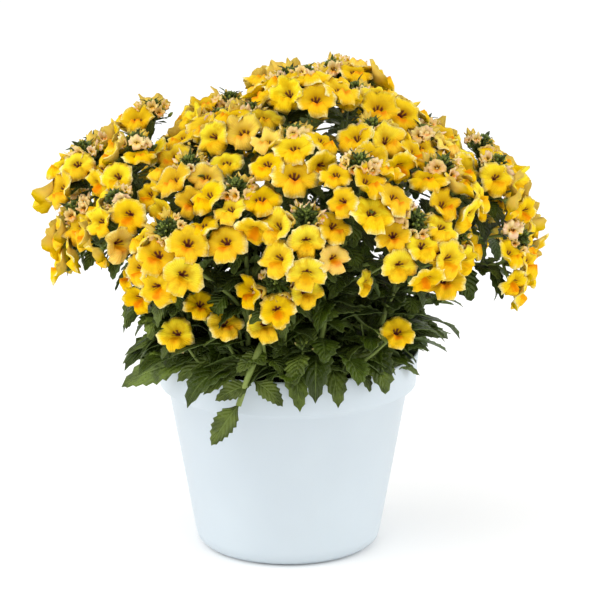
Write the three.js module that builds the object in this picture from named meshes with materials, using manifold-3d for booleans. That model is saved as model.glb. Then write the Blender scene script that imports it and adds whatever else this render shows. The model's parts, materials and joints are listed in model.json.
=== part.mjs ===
// Potted nemesia: a tapered white pot full of soil, leafy stems that stand in holes in the soil,
// and a dome of flower heads. Millimetres, +Z up, the front towards -Y.
// The origin is the centre of the pot's foot, on the surface that the pot stands on.
import * as THREE from "three";
import { mergeVertices } from "three/addons/utils/BufferGeometryUtils.js";
import Module from "manifold-3d";

const wasm = await Module();
wasm.setup();

// Driving dimensions
const GAP = 0.35; // air left between pieces that touch in life
const TOLERANCE = 0.12; // how far a joined surface may move where short edges are dropped
const POT = {
  height: 100,
  topRadius: 65,
  collarFootRadius: 63.8,
  neckRadius: 59.4,
  footRadius: 46.4,
  collarHeight: 17,
  shoulderHeight: 3.4,
  cornerRadius: 8,
  wall: 1.6,
  facets: 32,
};
const DRAIN = { count: 6, radius: 4, circle: 29, facets: 6 };
const SOIL = { topHeight: 87, mound: 3, relief: 0.9, waves: [0.31, 0.27], holeFacets: 5 };
const DOME = { centre: [4, 2, 167], radii: [118, 108, 69] };
// A head's blooms stand on a cap: one in the middle and others a step away all round it.
const HEAD = {
  spacing: 39, // closest that two heads stand, centre to centre
  capRadius: 29,
  step: 30, // degrees from the middle bloom to the next ones
  places: 6, // round the middle: the topmost holds the tuft of buds, the others blooms
  hub: 16, // from the middle bloom back to where the blooms' own stalks meet
  upturn: 0.35, // share of upward added to the way out of the dome
  neighbourhood: 60,
};
// The tuft of buds: a crown of points round a taller middle one.
const BUDS = { points: 4, radius: 4.2, rise: 4.5, notchRadius: 2.1, notchRise: 1, middleRise: 7, neck: 4 };
// Rings of heads from the top of the dome down. Each number is the count of open blooms on one head,
// from the ring's turn in degrees from +X. A few sparse heads hang lower at the front.
const RINGS = [
  { polar: 2, turn: 60, blooms: [6] },
  { polar: 27, turn: -72, blooms: [6, 6, 6, 6, 6, 6] },
  { polar: 49, turn: -90, blooms: [6, 6, 6, 6, 6, 6, 6, 6, 6, 6] },
  { polar: 68, turn: -78, blooms: [6, 6, 6, 6, 6, 6, 6, 6, 6, 6, 6, 6] },
  { polar: 86, turn: -90, blooms: [6, 6, 6, 6, 6, 6, 6, 6, 6, 6, 6] },
  { polar: 116, turn: -126, step: 36, lift: -10, blooms: [3, 3, 4] },
];
const EVENING_PASSES = 40; // that spread the heads evenly over the dome
// How far the crown stands above or below the dome, round each of these distances to the right.
const CREST = [
  { at: -105, reach: 22, rise: 8 },
  { at: -70, reach: 20, rise: -6 },
  { at: -34, reach: 34, rise: -16 },
  { at: 18, reach: 13, rise: 9 },
  { at: 70, reach: 14, rise: 7 },
  { at: 95, reach: 42, rise: -19 },
];
const CREST_FOOT = 0.35; // share of the way up the dome below which a fall fades out
const CREST_PASSES = 6; // that make room for the heads again
const SCATTER = { turn: 2.5, polar: 3, lift: 5 };
// Outer stems carry the low heads and inner stems the high ones. Each group shares its first ring.
const STEM_GROUPS = [
  { count: 10, levels: [3, 4, 5], first: 3, holeRadius: 43, lean: 16, turn: -76 },
  { count: 5, levels: [0, 1, 2], first: 1, holeRadius: 15, lean: 2, turn: -72 },
];
const STEM = {
  depth: 9, // below the top of the soil
  radius: 1.7,
  branchRadius: 1.2,
  tipRadius: 1,
  hubThickness: 2,
  kneeRise: 34,
  headRun: 30, // straight run into the head
  branchStart: 0.42, // share of the stem below its first branch
  branchSpacing: 0.13,
  branchRun: 12,
  branchHeadRun: 18,
  sides: 4,
  steps: 5,
  branchSides: 3,
  branchSteps: 3,
};
const BLOOM = {
  radius: 9,
  sizes: [0.96, 1.06],
  lift: 1.3,
  tilt: 0.16,
  roll: 0.3,
  throat: 1.2, // depth of the front
  tube: 4.4, // depth of the back
  seam: 1.5, // half the length of the seam between two blooms
  seamThickness: 0.7,
  seamRoom: 9, // degrees of rim left out on either side of a seam
  margin: 0.22, // from a bloom to the walls round it
};
const LEAF = {
  length: 36,
  width: 7.8, // from the rib to the edge
  thickness: 1.3, // at the rib
  fold: 0.2,
  slots: [0.15, 0.25, 0.36, 0.48], // shares of a stem's length, each with a pair of leaves
  shrink: 0.07, // from one pair to the next
  lengths: [0.78, 1.12],
  widths: [0.88, 1.12],
  attempts: 16,
  low: { swing: [5, 75], rise: [25, 62], bend: [80, 140], size: 1.2 }, // degrees
  high: { swing: [20, 95], rise: [10, 58], bend: [30, 95], size: 1 },
};
// Points of a leaf that are tested for room, as [share of the length, share of the half width].
const LEAF_TESTS = [0.3, 0.48, 0.66].flatMap((along) => [-0.85, 0, 0.85].map((across) => [along, across]));
LEAF_TESTS.push([0.84, -0.3], [0.84, 0.3], [1, 0]);
const ROOM = { stem: 2.2, head: 8, bloom: 9.5, leaf: 4, otherStem: 1.7, ground: 2.5, samples: 24 };

// A bloom's edge as [degrees from +X, share of the radius, forward share], from the middle of the
// lower lip up the right side: lip, notch, side lobe, upper lobe. The left side mirrors it.
const BLOOM_EDGE = [
  [-90, 0.86, 0.12],
  [-56, 1.1, 0.04],
  [-17, 0.6, 0.02],
  [18, 1.04, 0.0],
  [38, 0.78, 0.02],
  [63, 1.03, -0.04],
  [90, 0.82, -0.06],
];
// A leaf's toothed edge as [share of the length, share of the half width].
const LEAF_EDGE = [
  [0.13, 0.2],
  [0.36, 1.0],
  [0.43, 0.74],
  [0.62, 0.84],
  [0.69, 0.52],
];
const LEAF_RIB = [0.28, 0.62];
const FILL = [null, 1, 5, 2, 4, 3]; // the places that a head with fewer blooms fills first

// Small helpers
const UP = new THREE.Vector3(0, 0, 1);
const radians = THREE.MathUtils.degToRad;
const vector = (x, y, z) => new THREE.Vector3(x, y, z);

// The same value in 0..1 for the same two whole numbers, in every run.
function chance(item, draw) {
  const wave = Math.sin(item * 127.1 + draw * 311.7) * 43758.5453;
  return wave - Math.floor(wave);
}

function between(item, draw, low, high) {
  return low + (high - low) * chance(item, draw);
}

function onSphere(polar, turn) {
  return vector(Math.sin(polar) * Math.cos(turn), Math.sin(polar) * Math.sin(turn), Math.cos(polar));
}

function geometryOf(points, triangles) {
  return new THREE.BufferGeometry()
    .setAttribute("position", new THREE.Float32BufferAttribute(points.flatMap((p) => p.toArray()), 3))
    .setIndex(triangles.flat());
}

function solidOf(geometry, matrix = new THREE.Matrix4()) {
  const bare = new THREE.BufferGeometry()
    .setAttribute("position", geometry.getAttribute("position").clone())
    .setIndex(geometry.index ? geometry.index.clone() : null)
    .applyMatrix4(matrix);
  const merged = mergeVertices(bare, 1e-3);
  const vertProperties = merged.attributes.position.array;
  return new wasm.Manifold(
    new wasm.Mesh({ numProp: 3, vertProperties, triVerts: new Uint32Array(merged.index.array) }),
  );
}

function geometryFrom(solid) {
  const mesh = solid.getMesh();
  return new THREE.BufferGeometry()
    .setAttribute("position", new THREE.BufferAttribute(new Float32Array(mesh.vertProperties), 3))
    .setIndex(new THREE.BufferAttribute(new Uint32Array(mesh.triVerts), 1));
}

// A frame at origin whose Z axis is forward and whose Y axis is as near to upward as it can be.
function facing(origin, forward, upward, roll = 0) {
  const z = forward.clone().normalize();
  const x = upward.clone().cross(z).normalize();
  const y = z.clone().cross(x);
  return new THREE.Matrix4()
    .makeBasis(x, y, z)
    .multiply(new THREE.Matrix4().makeRotationZ(roll))
    .setPosition(origin);
}

// A solid turned about +Z from [radius, height] points, which start and end on the axis.
function turned(profile, facets) {
  const points = profile.map(([radius, height]) => new THREE.Vector2(radius, height));
  return new THREE.LatheGeometry(points, facets).rotateX(Math.PI / 2);
}

function tube(curve, radius, sides, steps) {
  const corners = Array.from({ length: sides }, (_, i) => {
    const angle = (i / sides) * 2 * Math.PI;
    return new THREE.Vector2(radius * Math.cos(angle), radius * Math.sin(angle));
  });
  const options = { extrudePath: curve, steps, bevelEnabled: false };
  return solidOf(new THREE.ExtrudeGeometry(new THREE.Shape(corners), options));
}

// Pot and soil
// The pot's wall from the floor up as [radius, height], moved in by a thickness.
function wallProfile(inset, cornerAngles) {
  const { cornerRadius, footRadius, height, collarHeight, shoulderHeight } = POT;
  const corner = cornerAngles.map(radians).map((angle) => [
    footRadius - cornerRadius + (cornerRadius - inset) * Math.sin(angle),
    cornerRadius - (cornerRadius - inset) * Math.cos(angle),
  ]);
  const collarFoot = height - collarHeight;
  return [
    ...corner,
    [POT.neckRadius - inset, collarFoot - shoulderHeight],
    [POT.collarFootRadius - inset, collarFoot],
    [POT.topRadius - inset, height],
  ];
}

function potSolid() {
  const floor = POT.wall;
  const inside = wallProfile(floor, [0, 90]).reverse();
  const profile = [[0, 0], ...wallProfile(0, [0, 45, 90]), ...inside, [0, floor]];
  const hole = solidOf(
    new THREE.CylinderGeometry(DRAIN.radius, DRAIN.radius, 4 * floor, DRAIN.facets).rotateX(Math.PI / 2),
  );
  const holes = Array.from({ length: DRAIN.count }, (_, i) => {
    const turn = ((i + 0.5) / DRAIN.count) * 2 * Math.PI;
    return hole.translate([DRAIN.circle * Math.cos(turn), DRAIN.circle * Math.sin(turn), 0]);
  });
  return solidOf(turned(profile, POT.facets)).subtract(wasm.Manifold.union(holes));
}

function soilHeight(x, y) {
  const radius = Math.hypot(x, y);
  const mound = SOIL.mound * Math.cos(Math.min(1, radius / POT.neckRadius) * (Math.PI / 2));
  return SOIL.topHeight + mound + SOIL.relief * Math.sin(x * SOIL.waves[0]) * Math.cos(y * SOIL.waves[1]);
}

function soilSolid(stems) {
  const wallFace = wallProfile(POT.wall + GAP, [0, 90]);
  const lip = wallFace.pop();
  const collarFoot = wallFace[wallFace.length - 1];
  const rim = THREE.MathUtils.mapLinear(SOIL.topHeight, collarFoot[1], lip[1], collarFoot[0], lip[0]);
  const profile = [
    [0, wallFace[0][1]],
    ...wallFace,
    [rim, SOIL.topHeight],
    [rim * 0.6, SOIL.topHeight],
    [0, SOIL.topHeight],
  ];
  const body = turned(profile, POT.facets);
  const place = body.getAttribute("position");
  for (let i = 0; i < place.count; i++) {
    const [x, y, z] = [place.getX(i), place.getY(i), place.getZ(i)];
    if (z > SOIL.topHeight - 0.01 && Math.hypot(x, y) < rim - 1) place.setZ(i, soilHeight(x, y));
  }
  return solidOf(body).subtract(wasm.Manifold.union(stems.map(stemHole)));
}

// A straight hole round the first stretch of a stem, which is straight too.
function stemHole({ curve }) {
  const foot = curve.getPoint(0);
  const top = curve.getPoint(1 / STEM.steps);
  foot.addScaledVector(top.clone().sub(foot).normalize(), -2 * GAP);
  const radius = (STEM.radius + GAP) / Math.cos(Math.PI / SOIL.holeFacets);
  return tube(new THREE.LineCurve3(foot, top), radius, SOIL.holeFacets, 1);
}

// Where the heads stand
function onDome(normal, lift) {
  const reach = DOME.radii.map((radius) => radius + lift);
  return new THREE.Vector3().fromArray(DOME.centre).add(normal.clone().multiply(vector(...reach)));
}

function domeNormal(point) {
  const offset = point.clone().sub(new THREE.Vector3().fromArray(DOME.centre));
  return offset.divide(vector(...DOME.radii)).normalize();
}

function placeHeads() {
  const heads = [];
  RINGS.forEach((ring, level) => {
    const step = ring.step ?? 360 / ring.blooms.length;
    ring.blooms.forEach((blooms, i) => {
      const key = level * 20 + i;
      const turn = radians(ring.turn + i * step + between(key, 1, -SCATTER.turn, SCATTER.turn));
      const polar = radians(ring.polar + between(key, 2, -SCATTER.polar, SCATTER.polar));
      const lift = (ring.lift ?? 0) + between(key, 3, -SCATTER.lift, SCATTER.lift);
      heads.push({ key, level, blooms, lift, centre: onDome(onSphere(polar, turn), lift) });
    });
  });
  for (let pass = 0; pass < EVENING_PASSES; pass++) {
    pushApart(heads);
    for (const head of heads) head.centre = onDome(domeNormal(head.centre), head.lift);
  }
  for (const head of heads) head.centre.z += crestRise(head.centre);
  for (let pass = 0; pass < CREST_PASSES; pass++) pushApart(heads);
  for (const head of heads) {
    head.normal = domeNormal(head.centre);
    head.turn = Math.atan2(head.normal.y, head.normal.x);
    head.axis = head.normal.clone().addScaledVector(UP, HEAD.upturn).normalize();
    head.upward = head.level ? UP : vector(0, 1, 0);
    head.frame = facing(head.centre, head.axis, head.upward);
    head.neighbours = heads.filter(
      (other) => other !== head && other.centre.distanceTo(head.centre) < HEAD.neighbourhood,
    );
  }
  return heads;
}

function crestRise(point) {
  const rises = CREST.map(({ at, reach, rise }) => rise * Math.exp(-(((point.x - at) / reach) ** 2)));
  const rise = rises.reduce((sum, value) => sum + value);
  const height = THREE.MathUtils.clamp(domeNormal(point).z / CREST_FOOT, 0, 1);
  return rise > 0 ? rise : rise * height;
}

function pushApart(heads) {
  for (let i = 0; i < heads.length; i++)
    for (let j = i + 1; j < heads.length; j++) {
      const step = heads[j].centre.clone().sub(heads[i].centre);
      const short = HEAD.spacing - step.length();
      if (short <= 0) continue;
      step.setLength(short / 2);
      heads[i].centre.sub(step);
      heads[j].centre.add(step);
    }
}

// A direction from the middle of the cap towards a place round it. Place 0 is the topmost one.
function placeDirection(head, place) {
  const turn = radians(90 + (360 * place) / HEAD.places);
  return onSphere(radians(HEAD.step), turn).transformDirection(head.frame);
}

function onCap(head, direction, lift = 0) {
  const middle = head.centre.clone().addScaledVector(head.axis, -HEAD.capRadius);
  return middle.addScaledVector(direction, HEAD.capRadius + lift);
}

// The blooms of a head in the order that joins each to the next: the middle, then round the cap.
function placeBlooms(head) {
  const kept = [null, 1, 2, 3, 4, 5].filter((place) => FILL.indexOf(place) < head.blooms);
  return kept.map((place) => {
    const key = head.key * 10 + (place ?? 0);
    const direction = place === null ? head.axis.clone() : placeDirection(head, place);
    const centre = onCap(head, direction, between(key, 4, -BLOOM.lift, BLOOM.lift));
    const tilt = onSphere(Math.PI / 2, between(key, 5, 0, 2 * Math.PI));
    const forward = direction.addScaledVector(tilt, between(key, 6, 0, BLOOM.tilt)).normalize();
    const frame = facing(centre, forward, UP, between(key, 7, -BLOOM.roll, BLOOM.roll));
    return { place, centre, forward, frame, size: BLOOM.radius * between(key, 8, ...BLOOM.sizes) };
  });
}

// Stems
function placeStems(heads) {
  const stems = [];
  for (const group of STEM_GROUPS) {
    const sector = 360 / group.count;
    for (let i = 0; i < group.count; i++) {
      const middle = radians(group.turn + sector * i);
      const mine = heads.filter((head) => {
        if (!group.levels.includes(head.level)) return false;
        const away = (((head.turn - middle) / radians(sector) + 0.5) % group.count) + group.count;
        return Math.floor(away) % group.count === 0;
      });
      stems.push(stemOf(mine, group, middle, stems.length));
    }
  }
  return stems;
}

function stemOf(heads, group, middle, key) {
  const main = heads.find((head) => head.level === group.first) ?? heads[0];
  const out = vector(Math.cos(middle), Math.sin(middle), 0);
  const foot = out.clone().multiplyScalar(group.holeRadius * between(key, 9, 0.86, 1.1));
  foot.z = SOIL.topHeight - STEM.depth;
  const knee = foot.clone().addScaledVector(out, group.lean).addScaledVector(UP, STEM.kneeRise);
  const curve = intoHead(foot, knee, main, STEM.headRun);
  const side = heads.filter((head) => head !== main);
  const branches = side.map((head, i) => {
    const at = STEM.branchStart + STEM.branchSpacing * i;
    const from = curve.getPoint(at);
    const bend = from.clone().addScaledVector(curve.getTangent(at), STEM.branchRun);
    return { head, curve: intoHead(from, bend, head, STEM.branchHeadRun) };
  });
  return { key, azimuth: middle, outer: group === STEM_GROUPS[0], curve, heads: [main, ...side], branches };
}

// A curve from a foot to the hub behind a head, which it enters along the head's axis.
function intoHead(foot, bend, head, run) {
  const hub = head.centre.clone().addScaledVector(head.axis, -HEAD.hub);
  return new THREE.CubicBezierCurve3(foot, bend, hub.clone().addScaledVector(head.axis, -run), hub);
}

// Leaves
function obstaclesOf(stems) {
  const points = [];
  const add = (point, radius, stem) => points.push({ point, radius, stem });
  for (const stem of stems) {
    for (const path of [stem.curve, ...stem.branches.map((branch) => branch.curve)])
      for (let i = 0; i <= ROOM.samples; i++) add(path.getPoint(i / ROOM.samples), ROOM.stem, stem.key);
    for (const head of stem.heads) {
      add(head.centre, ROOM.head, -1);
      for (const bloom of placeBlooms(head)) add(bloom.centre, ROOM.bloom, -1);
    }
  }
  return points;
}

// True where a point is clear of the pot's wall and above the soil.
function clearOfPot(point) {
  const radius = Math.hypot(point.x, point.y);
  if (radius < POT.neckRadius - 2 * ROOM.ground) return point.z > SOIL.topHeight + SOIL.mound + ROOM.ground;
  return radius > POT.topRadius + ROOM.ground || point.z > POT.height + ROOM.ground;
}

function leafFrame(base, turn, rise) {
  const along = vector(Math.cos(turn) * Math.cos(rise), Math.sin(turn) * Math.cos(rise), Math.sin(rise));
  const across = UP.clone().cross(along).normalize();
  return new THREE.Matrix4().makeBasis(along, across, along.clone().cross(across)).setPosition(base);
}

// A point of a leaf that bends down along an arc, in the leaf's own frame.
function leafPoint(leaf, along, across, lower = 0) {
  const angle = leaf.bend * along;
  const reach = leaf.length / leaf.bend;
  const side = across * leaf.width;
  const rise = Math.abs(side) * LEAF.fold - lower;
  return vector(
    reach * Math.sin(angle) + rise * Math.sin(angle),
    side,
    reach * (Math.cos(angle) - 1) + rise * Math.cos(angle),
  );
}

function leafFits(leaf, obstacles) {
  const samples = LEAF_TESTS.map((place) => leafPoint(leaf, ...place).applyMatrix4(leaf.frame));
  const clear = samples.every((sample) =>
    obstacles.every(({ point, radius, stem }) => {
      const room = stem === leaf.stem ? radius : radius + ROOM.otherStem;
      return sample.distanceToSquared(point) > room * room;
    }),
  );
  return clear && samples.every(clearOfPot) ? samples : null;
}

function placeLeaves(stems) {
  const obstacles = obstaclesOf(stems);
  const leaves = [];
  LEAF.slots.forEach((slot, level) => {
    for (const stem of stems)
      for (const side of [-1, 1]) {
        const key = 1000 + stem.key * 40 + level * 4 + side;
        const leaf = tryLeaf(stem, slot, level, side, key, obstacles);
        if (!leaf) continue;
        leaves.push(leaf);
        for (const sample of leaf.samples) obstacles.push({ point: sample, radius: ROOM.leaf, stem: -1 });
      }
  });
  return leaves;
}

// Draws a leaf until one fits. The lowest leaves of the outer stems arch over the pot's rim.
function tryLeaf(stem, slot, level, side, key, obstacles) {
  const at = slot + between(key, 1, -0.02, 0.02);
  const habit = stem.outer && level < 2 ? LEAF.low : LEAF.high;
  const size = habit.size * (1 - LEAF.shrink * level);
  for (let attempt = 0; attempt < LEAF.attempts; attempt++) {
    const draw = (low, high, item) => between(key, 10 * attempt + item, low, high);
    const turn = stem.azimuth + side * radians(draw(...habit.swing, 2));
    const leaf = {
      stem: stem.key,
      length: LEAF.length * draw(...LEAF.lengths, 3) * size,
      width: LEAF.width * draw(...LEAF.widths, 4) * size,
      bend: radians(draw(...habit.bend, 5)),
      frame: leafFrame(stem.curve.getPoint(at), turn, radians(draw(...habit.rise, 6))),
    };
    leaf.samples = leafFits(leaf, obstacles);
    if (leaf.samples) return leaf;
  }
  return null;
}

// Solids of the plant
// A head's blooms in one skin. Each is joined to the next along a short seam at their petals' edge.
function bloomsSolid(head) {
  const points = [];
  const add = (point) => points.push(point) - 1;
  const blooms = placeBlooms(head);
  for (const bloom of blooms) bloom.seams = [];
  for (let i = 1; i < blooms.length; i++) {
    const [from, to] = [blooms[i - 1], blooms[i]];
    const ends = seamBetween(from, to).map(({ point, ahead }) => ({
      point,
      front: add(point.clone().add(ahead)),
      back: add(point.clone().sub(ahead)),
    }));
    from.seams.push(ends);
    to.seams.push([...ends].reverse());
  }
  const walls = [...head.neighbours.map((other) => wallBetween(head, other)), tuftWall(head)];
  const triangles = blooms.flatMap((bloom) => {
    const others = blooms.filter((other) => other !== bloom).map((other) => wallBetween(bloom, other));
    const rim = bloomRim(bloom, [...walls, ...others], add);
    const throat = add(vector(0, 0, -BLOOM.throat).applyMatrix4(bloom.frame));
    const tube = add(vector(0, 0, -BLOOM.tube).applyMatrix4(bloom.frame));
    return rim.flatMap((here, i) => rimFaces(here, rim[(i + 1) % rim.length], throat, tube));
  });
  return solidOf(geometryOf(points, triangles));
}

// The faces between two neighbours on a bloom's rim. A seam's end is split into front and back.
function rimFaces(here, there, throat, tube) {
  const faces = [
    [here.front, there.front, throat],
    [there.back, here.back, tube],
  ];
  if (here.seam && here.seam === there.seam) return faces;
  if (here.front !== here.back) faces.push([there.front, here.front, here.back]);
  if (there.front !== there.back) faces.push([there.front, here.back, there.back]);
  return faces;
}

// A plane that a bloom stays behind, as a point on it and the way that it faces.
function wallBetween(bloom, other) {
  const away = other.centre.clone().sub(bloom.centre);
  return { point: bloom.centre.clone().addScaledVector(away, 0.5), away: away.normalize() };
}

function tuftWall(head) {
  const direction = placeDirection(head, 0);
  const away = direction.clone().addScaledVector(head.axis, -direction.dot(head.axis)).normalize();
  return { point: onCap(head, direction).addScaledVector(away, -BUDS.radius - GAP), away };
}

// The ends of the seam between two blooms, in the order that goes round the first one.
function seamBetween(bloom, next) {
  const { point, away } = wallBetween(bloom, next);
  const ahead = bloom.forward.clone().add(next.forward);
  ahead.addScaledVector(away, -ahead.dot(away)).normalize();
  const rises = [bloom, next].map(
    ({ centre, forward }) => centre.clone().sub(point).dot(forward) / ahead.dot(forward),
  );
  const middle = point.clone().addScaledVector(ahead, (rises[0] + rises[1]) / 2);
  const along = ahead.clone().cross(away).multiplyScalar(BLOOM.seam);
  ahead.multiplyScalar(BLOOM.seamThickness / 2);
  return [-1, 1].map((end) => ({ point: middle.clone().addScaledVector(along, end), ahead }));
}

// A bloom's rim: its lobed outline, kept behind the walls, with its seams in their places.
function bloomRim(bloom, walls, add) {
  const inward = bloom.frame.clone().invert();
  const angleOf = (point) => {
    const local = point.clone().applyMatrix4(inward);
    return Math.atan2(local.y, local.x);
  };
  const seams = bloom.seams.map((ends) => {
    const [start, end] = ends.map(({ point }) => angleOf(point));
    return { ends, start, width: (end - start + 2 * Math.PI) % (2 * Math.PI) };
  });
  const room = radians(BLOOM.seamRoom);
  const corners = bloomOutline(bloom).filter((point) =>
    seams.every(({ start, width }) => {
      const past = (angleOf(point) - start + room + 4 * Math.PI) % (2 * Math.PI);
      return past > width + 2 * room;
    }),
  );
  const rim = corners.map((point) => {
    let reach = 1;
    for (const wall of walls) {
      const depth = bloom.centre.clone().sub(wall.point).dot(wall.away);
      const climb = point.clone().sub(bloom.centre).dot(wall.away);
      if (climb > 0) reach = Math.min(reach, (-BLOOM.margin - depth) / climb);
    }
    const kept = bloom.centre.clone().lerp(point, reach);
    const index = add(kept);
    return { angle: angleOf(kept), front: index, back: index };
  });
  for (const { ends } of seams)
    for (const { point, front, back } of ends) rim.push({ angle: angleOf(point), front, back, seam: ends });
  return rim.sort((a, b) => a.angle - b.angle);
}

function bloomOutline(bloom) {
  const left = BLOOM_EDGE.slice(1, -1)
    .reverse()
    .map(([angle, share, forward]) => [180 - angle, share, forward]);
  return [...BLOOM_EDGE, ...left].map(([angle, share, forward]) => {
    const flat = onSphere(Math.PI / 2, radians(angle)).multiplyScalar(share * bloom.size);
    return flat.setZ(forward * bloom.size).applyMatrix4(bloom.frame);
  });
}

function leafSolid(leaf) {
  const points = [leafPoint(leaf, 0, 0), leafPoint(leaf, 1, 0)];
  const triangles = [];
  const add = (point) => points.push(point) - 1;
  const upperRib = LEAF_RIB.map((along) => add(leafPoint(leaf, along, 0)));
  const lowerRib = LEAF_RIB.map((along) => add(leafPoint(leaf, along, 0, LEAF.thickness)));
  for (const side of [1, -1]) {
    const edge = LEAF_EDGE.map(([along, across]) => add(leafPoint(leaf, along, across * side)));
    for (const [rib, face] of [
      [upperRib, 1],
      [lowerRib, -1],
    ])
      for (const [a, b, c] of stripBetween([0, ...rib, 1], [0, ...edge, 1]))
        triangles.push(side * face > 0 ? [a, c, b] : [a, b, c]);
  }
  return solidOf(geometryOf(points, triangles), leaf.frame);
}

// Triangles between the rib and one edge of a leaf, which share both ends.
function stripBetween(rib, edge) {
  const ribAt = [0, ...LEAF_RIB, 1];
  const edgeAt = [0, ...LEAF_EDGE.map(([along]) => along), 1];
  const triangles = [];
  let [i, j] = [0, 0];
  while (i < rib.length - 1 || j < edge.length - 1) {
    const onRib = j === edge.length - 1 || (i < rib.length - 1 && ribAt[i + 1] < edgeAt[j + 1]);
    const third = onRib ? rib[i + 1] : edge[j + 1];
    if (new Set([rib[i], edge[j], third]).size === 3) triangles.push([rib[i], edge[j], third]);
    if (onRib) i++;
    else j++;
  }
  return triangles;
}

// A stalk that ends in a head's green parts: a ray to the back of each bloom and a tuft of buds.
function stalkSolid(curve, radius, sides, steps, head) {
  const points = [];
  const triangles = [];
  const add = (point) => points.push(point) - 1;
  const ring = (frame, count, reach, height, shift = 0.5) =>
    Array.from({ length: count }, (_, i) => {
      const turn = ((i + shift) / count + 0.25) * 2 * Math.PI;
      return add(vector(reach * Math.cos(turn), reach * Math.sin(turn), height).applyMatrix4(frame));
    });
  const foot = add(curve.getPoint(0));
  const rings = Array.from({ length: steps }, (_, i) => {
    const frame = facing(curve.getPoint(i / steps), curve.getTangent(i / steps), head.upward);
    return ring(frame, sides, THREE.MathUtils.lerp(radius, STEM.tipRadius, i / steps), 0);
  });
  rings.push(ring(head.frame, HEAD.places, STEM.tipRadius, -HEAD.hub));
  for (let i = 0; i < sides; i++) triangles.push([foot, rings[0][(i + 1) % sides], rings[0][i]]);
  for (let k = 0; k < steps; k++) triangles.push(...zip(rings[k], rings[k + 1]));

  // Rays to the blooms, and the middle bloom's own stalk
  const collar = ring(head.frame, HEAD.places, STEM.tipRadius, STEM.hubThickness - HEAD.hub);
  const blooms = placeBlooms(head);
  const tipOf = ({ centre, forward }) => centre.clone().addScaledVector(forward, -BLOOM.tube - GAP);
  const middle = add(tipOf(blooms[0]));
  rings[steps].forEach((low, i) => {
    const next = (i + 1) % HEAD.places;
    const side = [low, rings[steps][next], collar[next], collar[i]];
    const bloom = blooms.find(({ place }) => place === (i + 1) % HEAD.places);
    triangles.push([collar[i], collar[next], middle]);
    if (i === HEAD.places - 1) triangles.push(...tuftFaces(head, side, ring, add));
    else if (bloom) triangles.push(...fan(side, add(tipOf(bloom))));
    else triangles.push([side[0], side[1], side[2]], [side[0], side[2], side[3]]);
  });
  return solidOf(geometryOf(points, triangles));
}

function fan(edge, tip) {
  return edge.map((corner, i) => [corner, edge[(i + 1) % edge.length], tip]);
}

// The faces between two rings of points, which may differ in number.
function zip(low, high) {
  const faces = [];
  const at = (ring, i) => ring[i % ring.length];
  let [i, j] = [0, 0];
  while (i < low.length || j < high.length) {
    if ((i + 1) / low.length <= (j + 1) / high.length) {
      faces.push([at(low, i), at(low, i + 1), at(high, j)]);
      i++;
    } else {
      faces.push([at(low, i), at(high, j + 1), at(high, j)]);
      j++;
    }
  }
  return faces;
}

// A short neck from the hub to the tuft of buds, which points upwards and outwards.
function tuftFaces(head, side, ring, add) {
  const direction = placeDirection(head, 0);
  const frame = facing(onCap(head, direction, -BUDS.neck), direction, head.upward);
  const root = ring(frame, BUDS.points, STEM.tipRadius, 0);
  const spikes = ring(frame, BUDS.points, BUDS.radius, BUDS.rise);
  const notches = ring(frame, BUDS.points, BUDS.notchRadius, BUDS.notchRise, 1);
  const middle = add(vector(0, 0, BUDS.middleRise).applyMatrix4(frame));
  const faces = [];
  const matched = [side[2], side[3], side[0], side[1]];
  for (let i = 0; i < BUDS.points; i++) {
    const next = (i + 1) % BUDS.points;
    faces.push(
      [matched[i], matched[next], root[next]],
      [matched[i], root[next], root[i]],
      [root[i], root[next], notches[i]],
      [root[i], notches[i], spikes[i]],
      [root[next], spikes[next], notches[i]],
      [spikes[i], notches[i], middle],
      [notches[i], spikes[next], middle],
    );
  }
  return faces;
}

function stemSolid(stem, leaves) {
  const parts = [stalkSolid(stem.curve, STEM.radius, STEM.sides, STEM.steps, stem.heads[0])];
  for (const { curve, head } of stem.branches)
    parts.push(stalkSolid(curve, STEM.branchRadius, STEM.branchSides, STEM.branchSteps, head));
  for (const leaf of leaves.filter((one) => one.stem === stem.key)) parts.push(leafSolid(leaf));
  return wasm.Manifold.union(parts);
}

// Assembly
const MATERIALS = {
  pot: new THREE.MeshStandardMaterial({ color: 0xe3eaee, roughness: 0.42, metalness: 0 }),
  soil: new THREE.MeshStandardMaterial({ color: 0x2b2018, roughness: 0.95, metalness: 0 }),
  foliage: new THREE.MeshStandardMaterial({ color: 0x3f5a26, roughness: 0.6, metalness: 0 }),
  petals: new THREE.MeshStandardMaterial({ color: 0xf6c51b, roughness: 0.6, metalness: 0 }),
};

const nemesia = new THREE.Group();

function addPiece(name, solid, material) {
  const mesh = new THREE.Mesh(geometryFrom(solid.simplify(TOLERANCE)), material);
  mesh.name = name;
  nemesia.add(mesh);
}

const numbered = (word, i) => `${word}_${String(i + 1).padStart(2, "0")}`;

const heads = placeHeads();
const stems = placeStems(heads);
const leaves = placeLeaves(stems);

addPiece("pot", potSolid(), MATERIALS.pot);
addPiece("soil", soilSolid(stems), MATERIALS.soil);
stems.forEach((stem, i) => addPiece(numbered("leafy_stem", i), stemSolid(stem, leaves), MATERIALS.foliage));
heads.forEach((head, i) => addPiece(numbered("flower_head", i), bloomsSolid(head), MATERIALS.petals));

export default nemesia;
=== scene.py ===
import json
from math import acos, asin, atan2, cos, degrees, exp, floor, hypot, pi, radians, sin, sqrt
from types import SimpleNamespace as Thing

import bmesh
import bpy
import numpy as np
from bmesh.types import BMEdge, BMFace, BMVert
from mathutils import Matrix, Vector, noise

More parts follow.
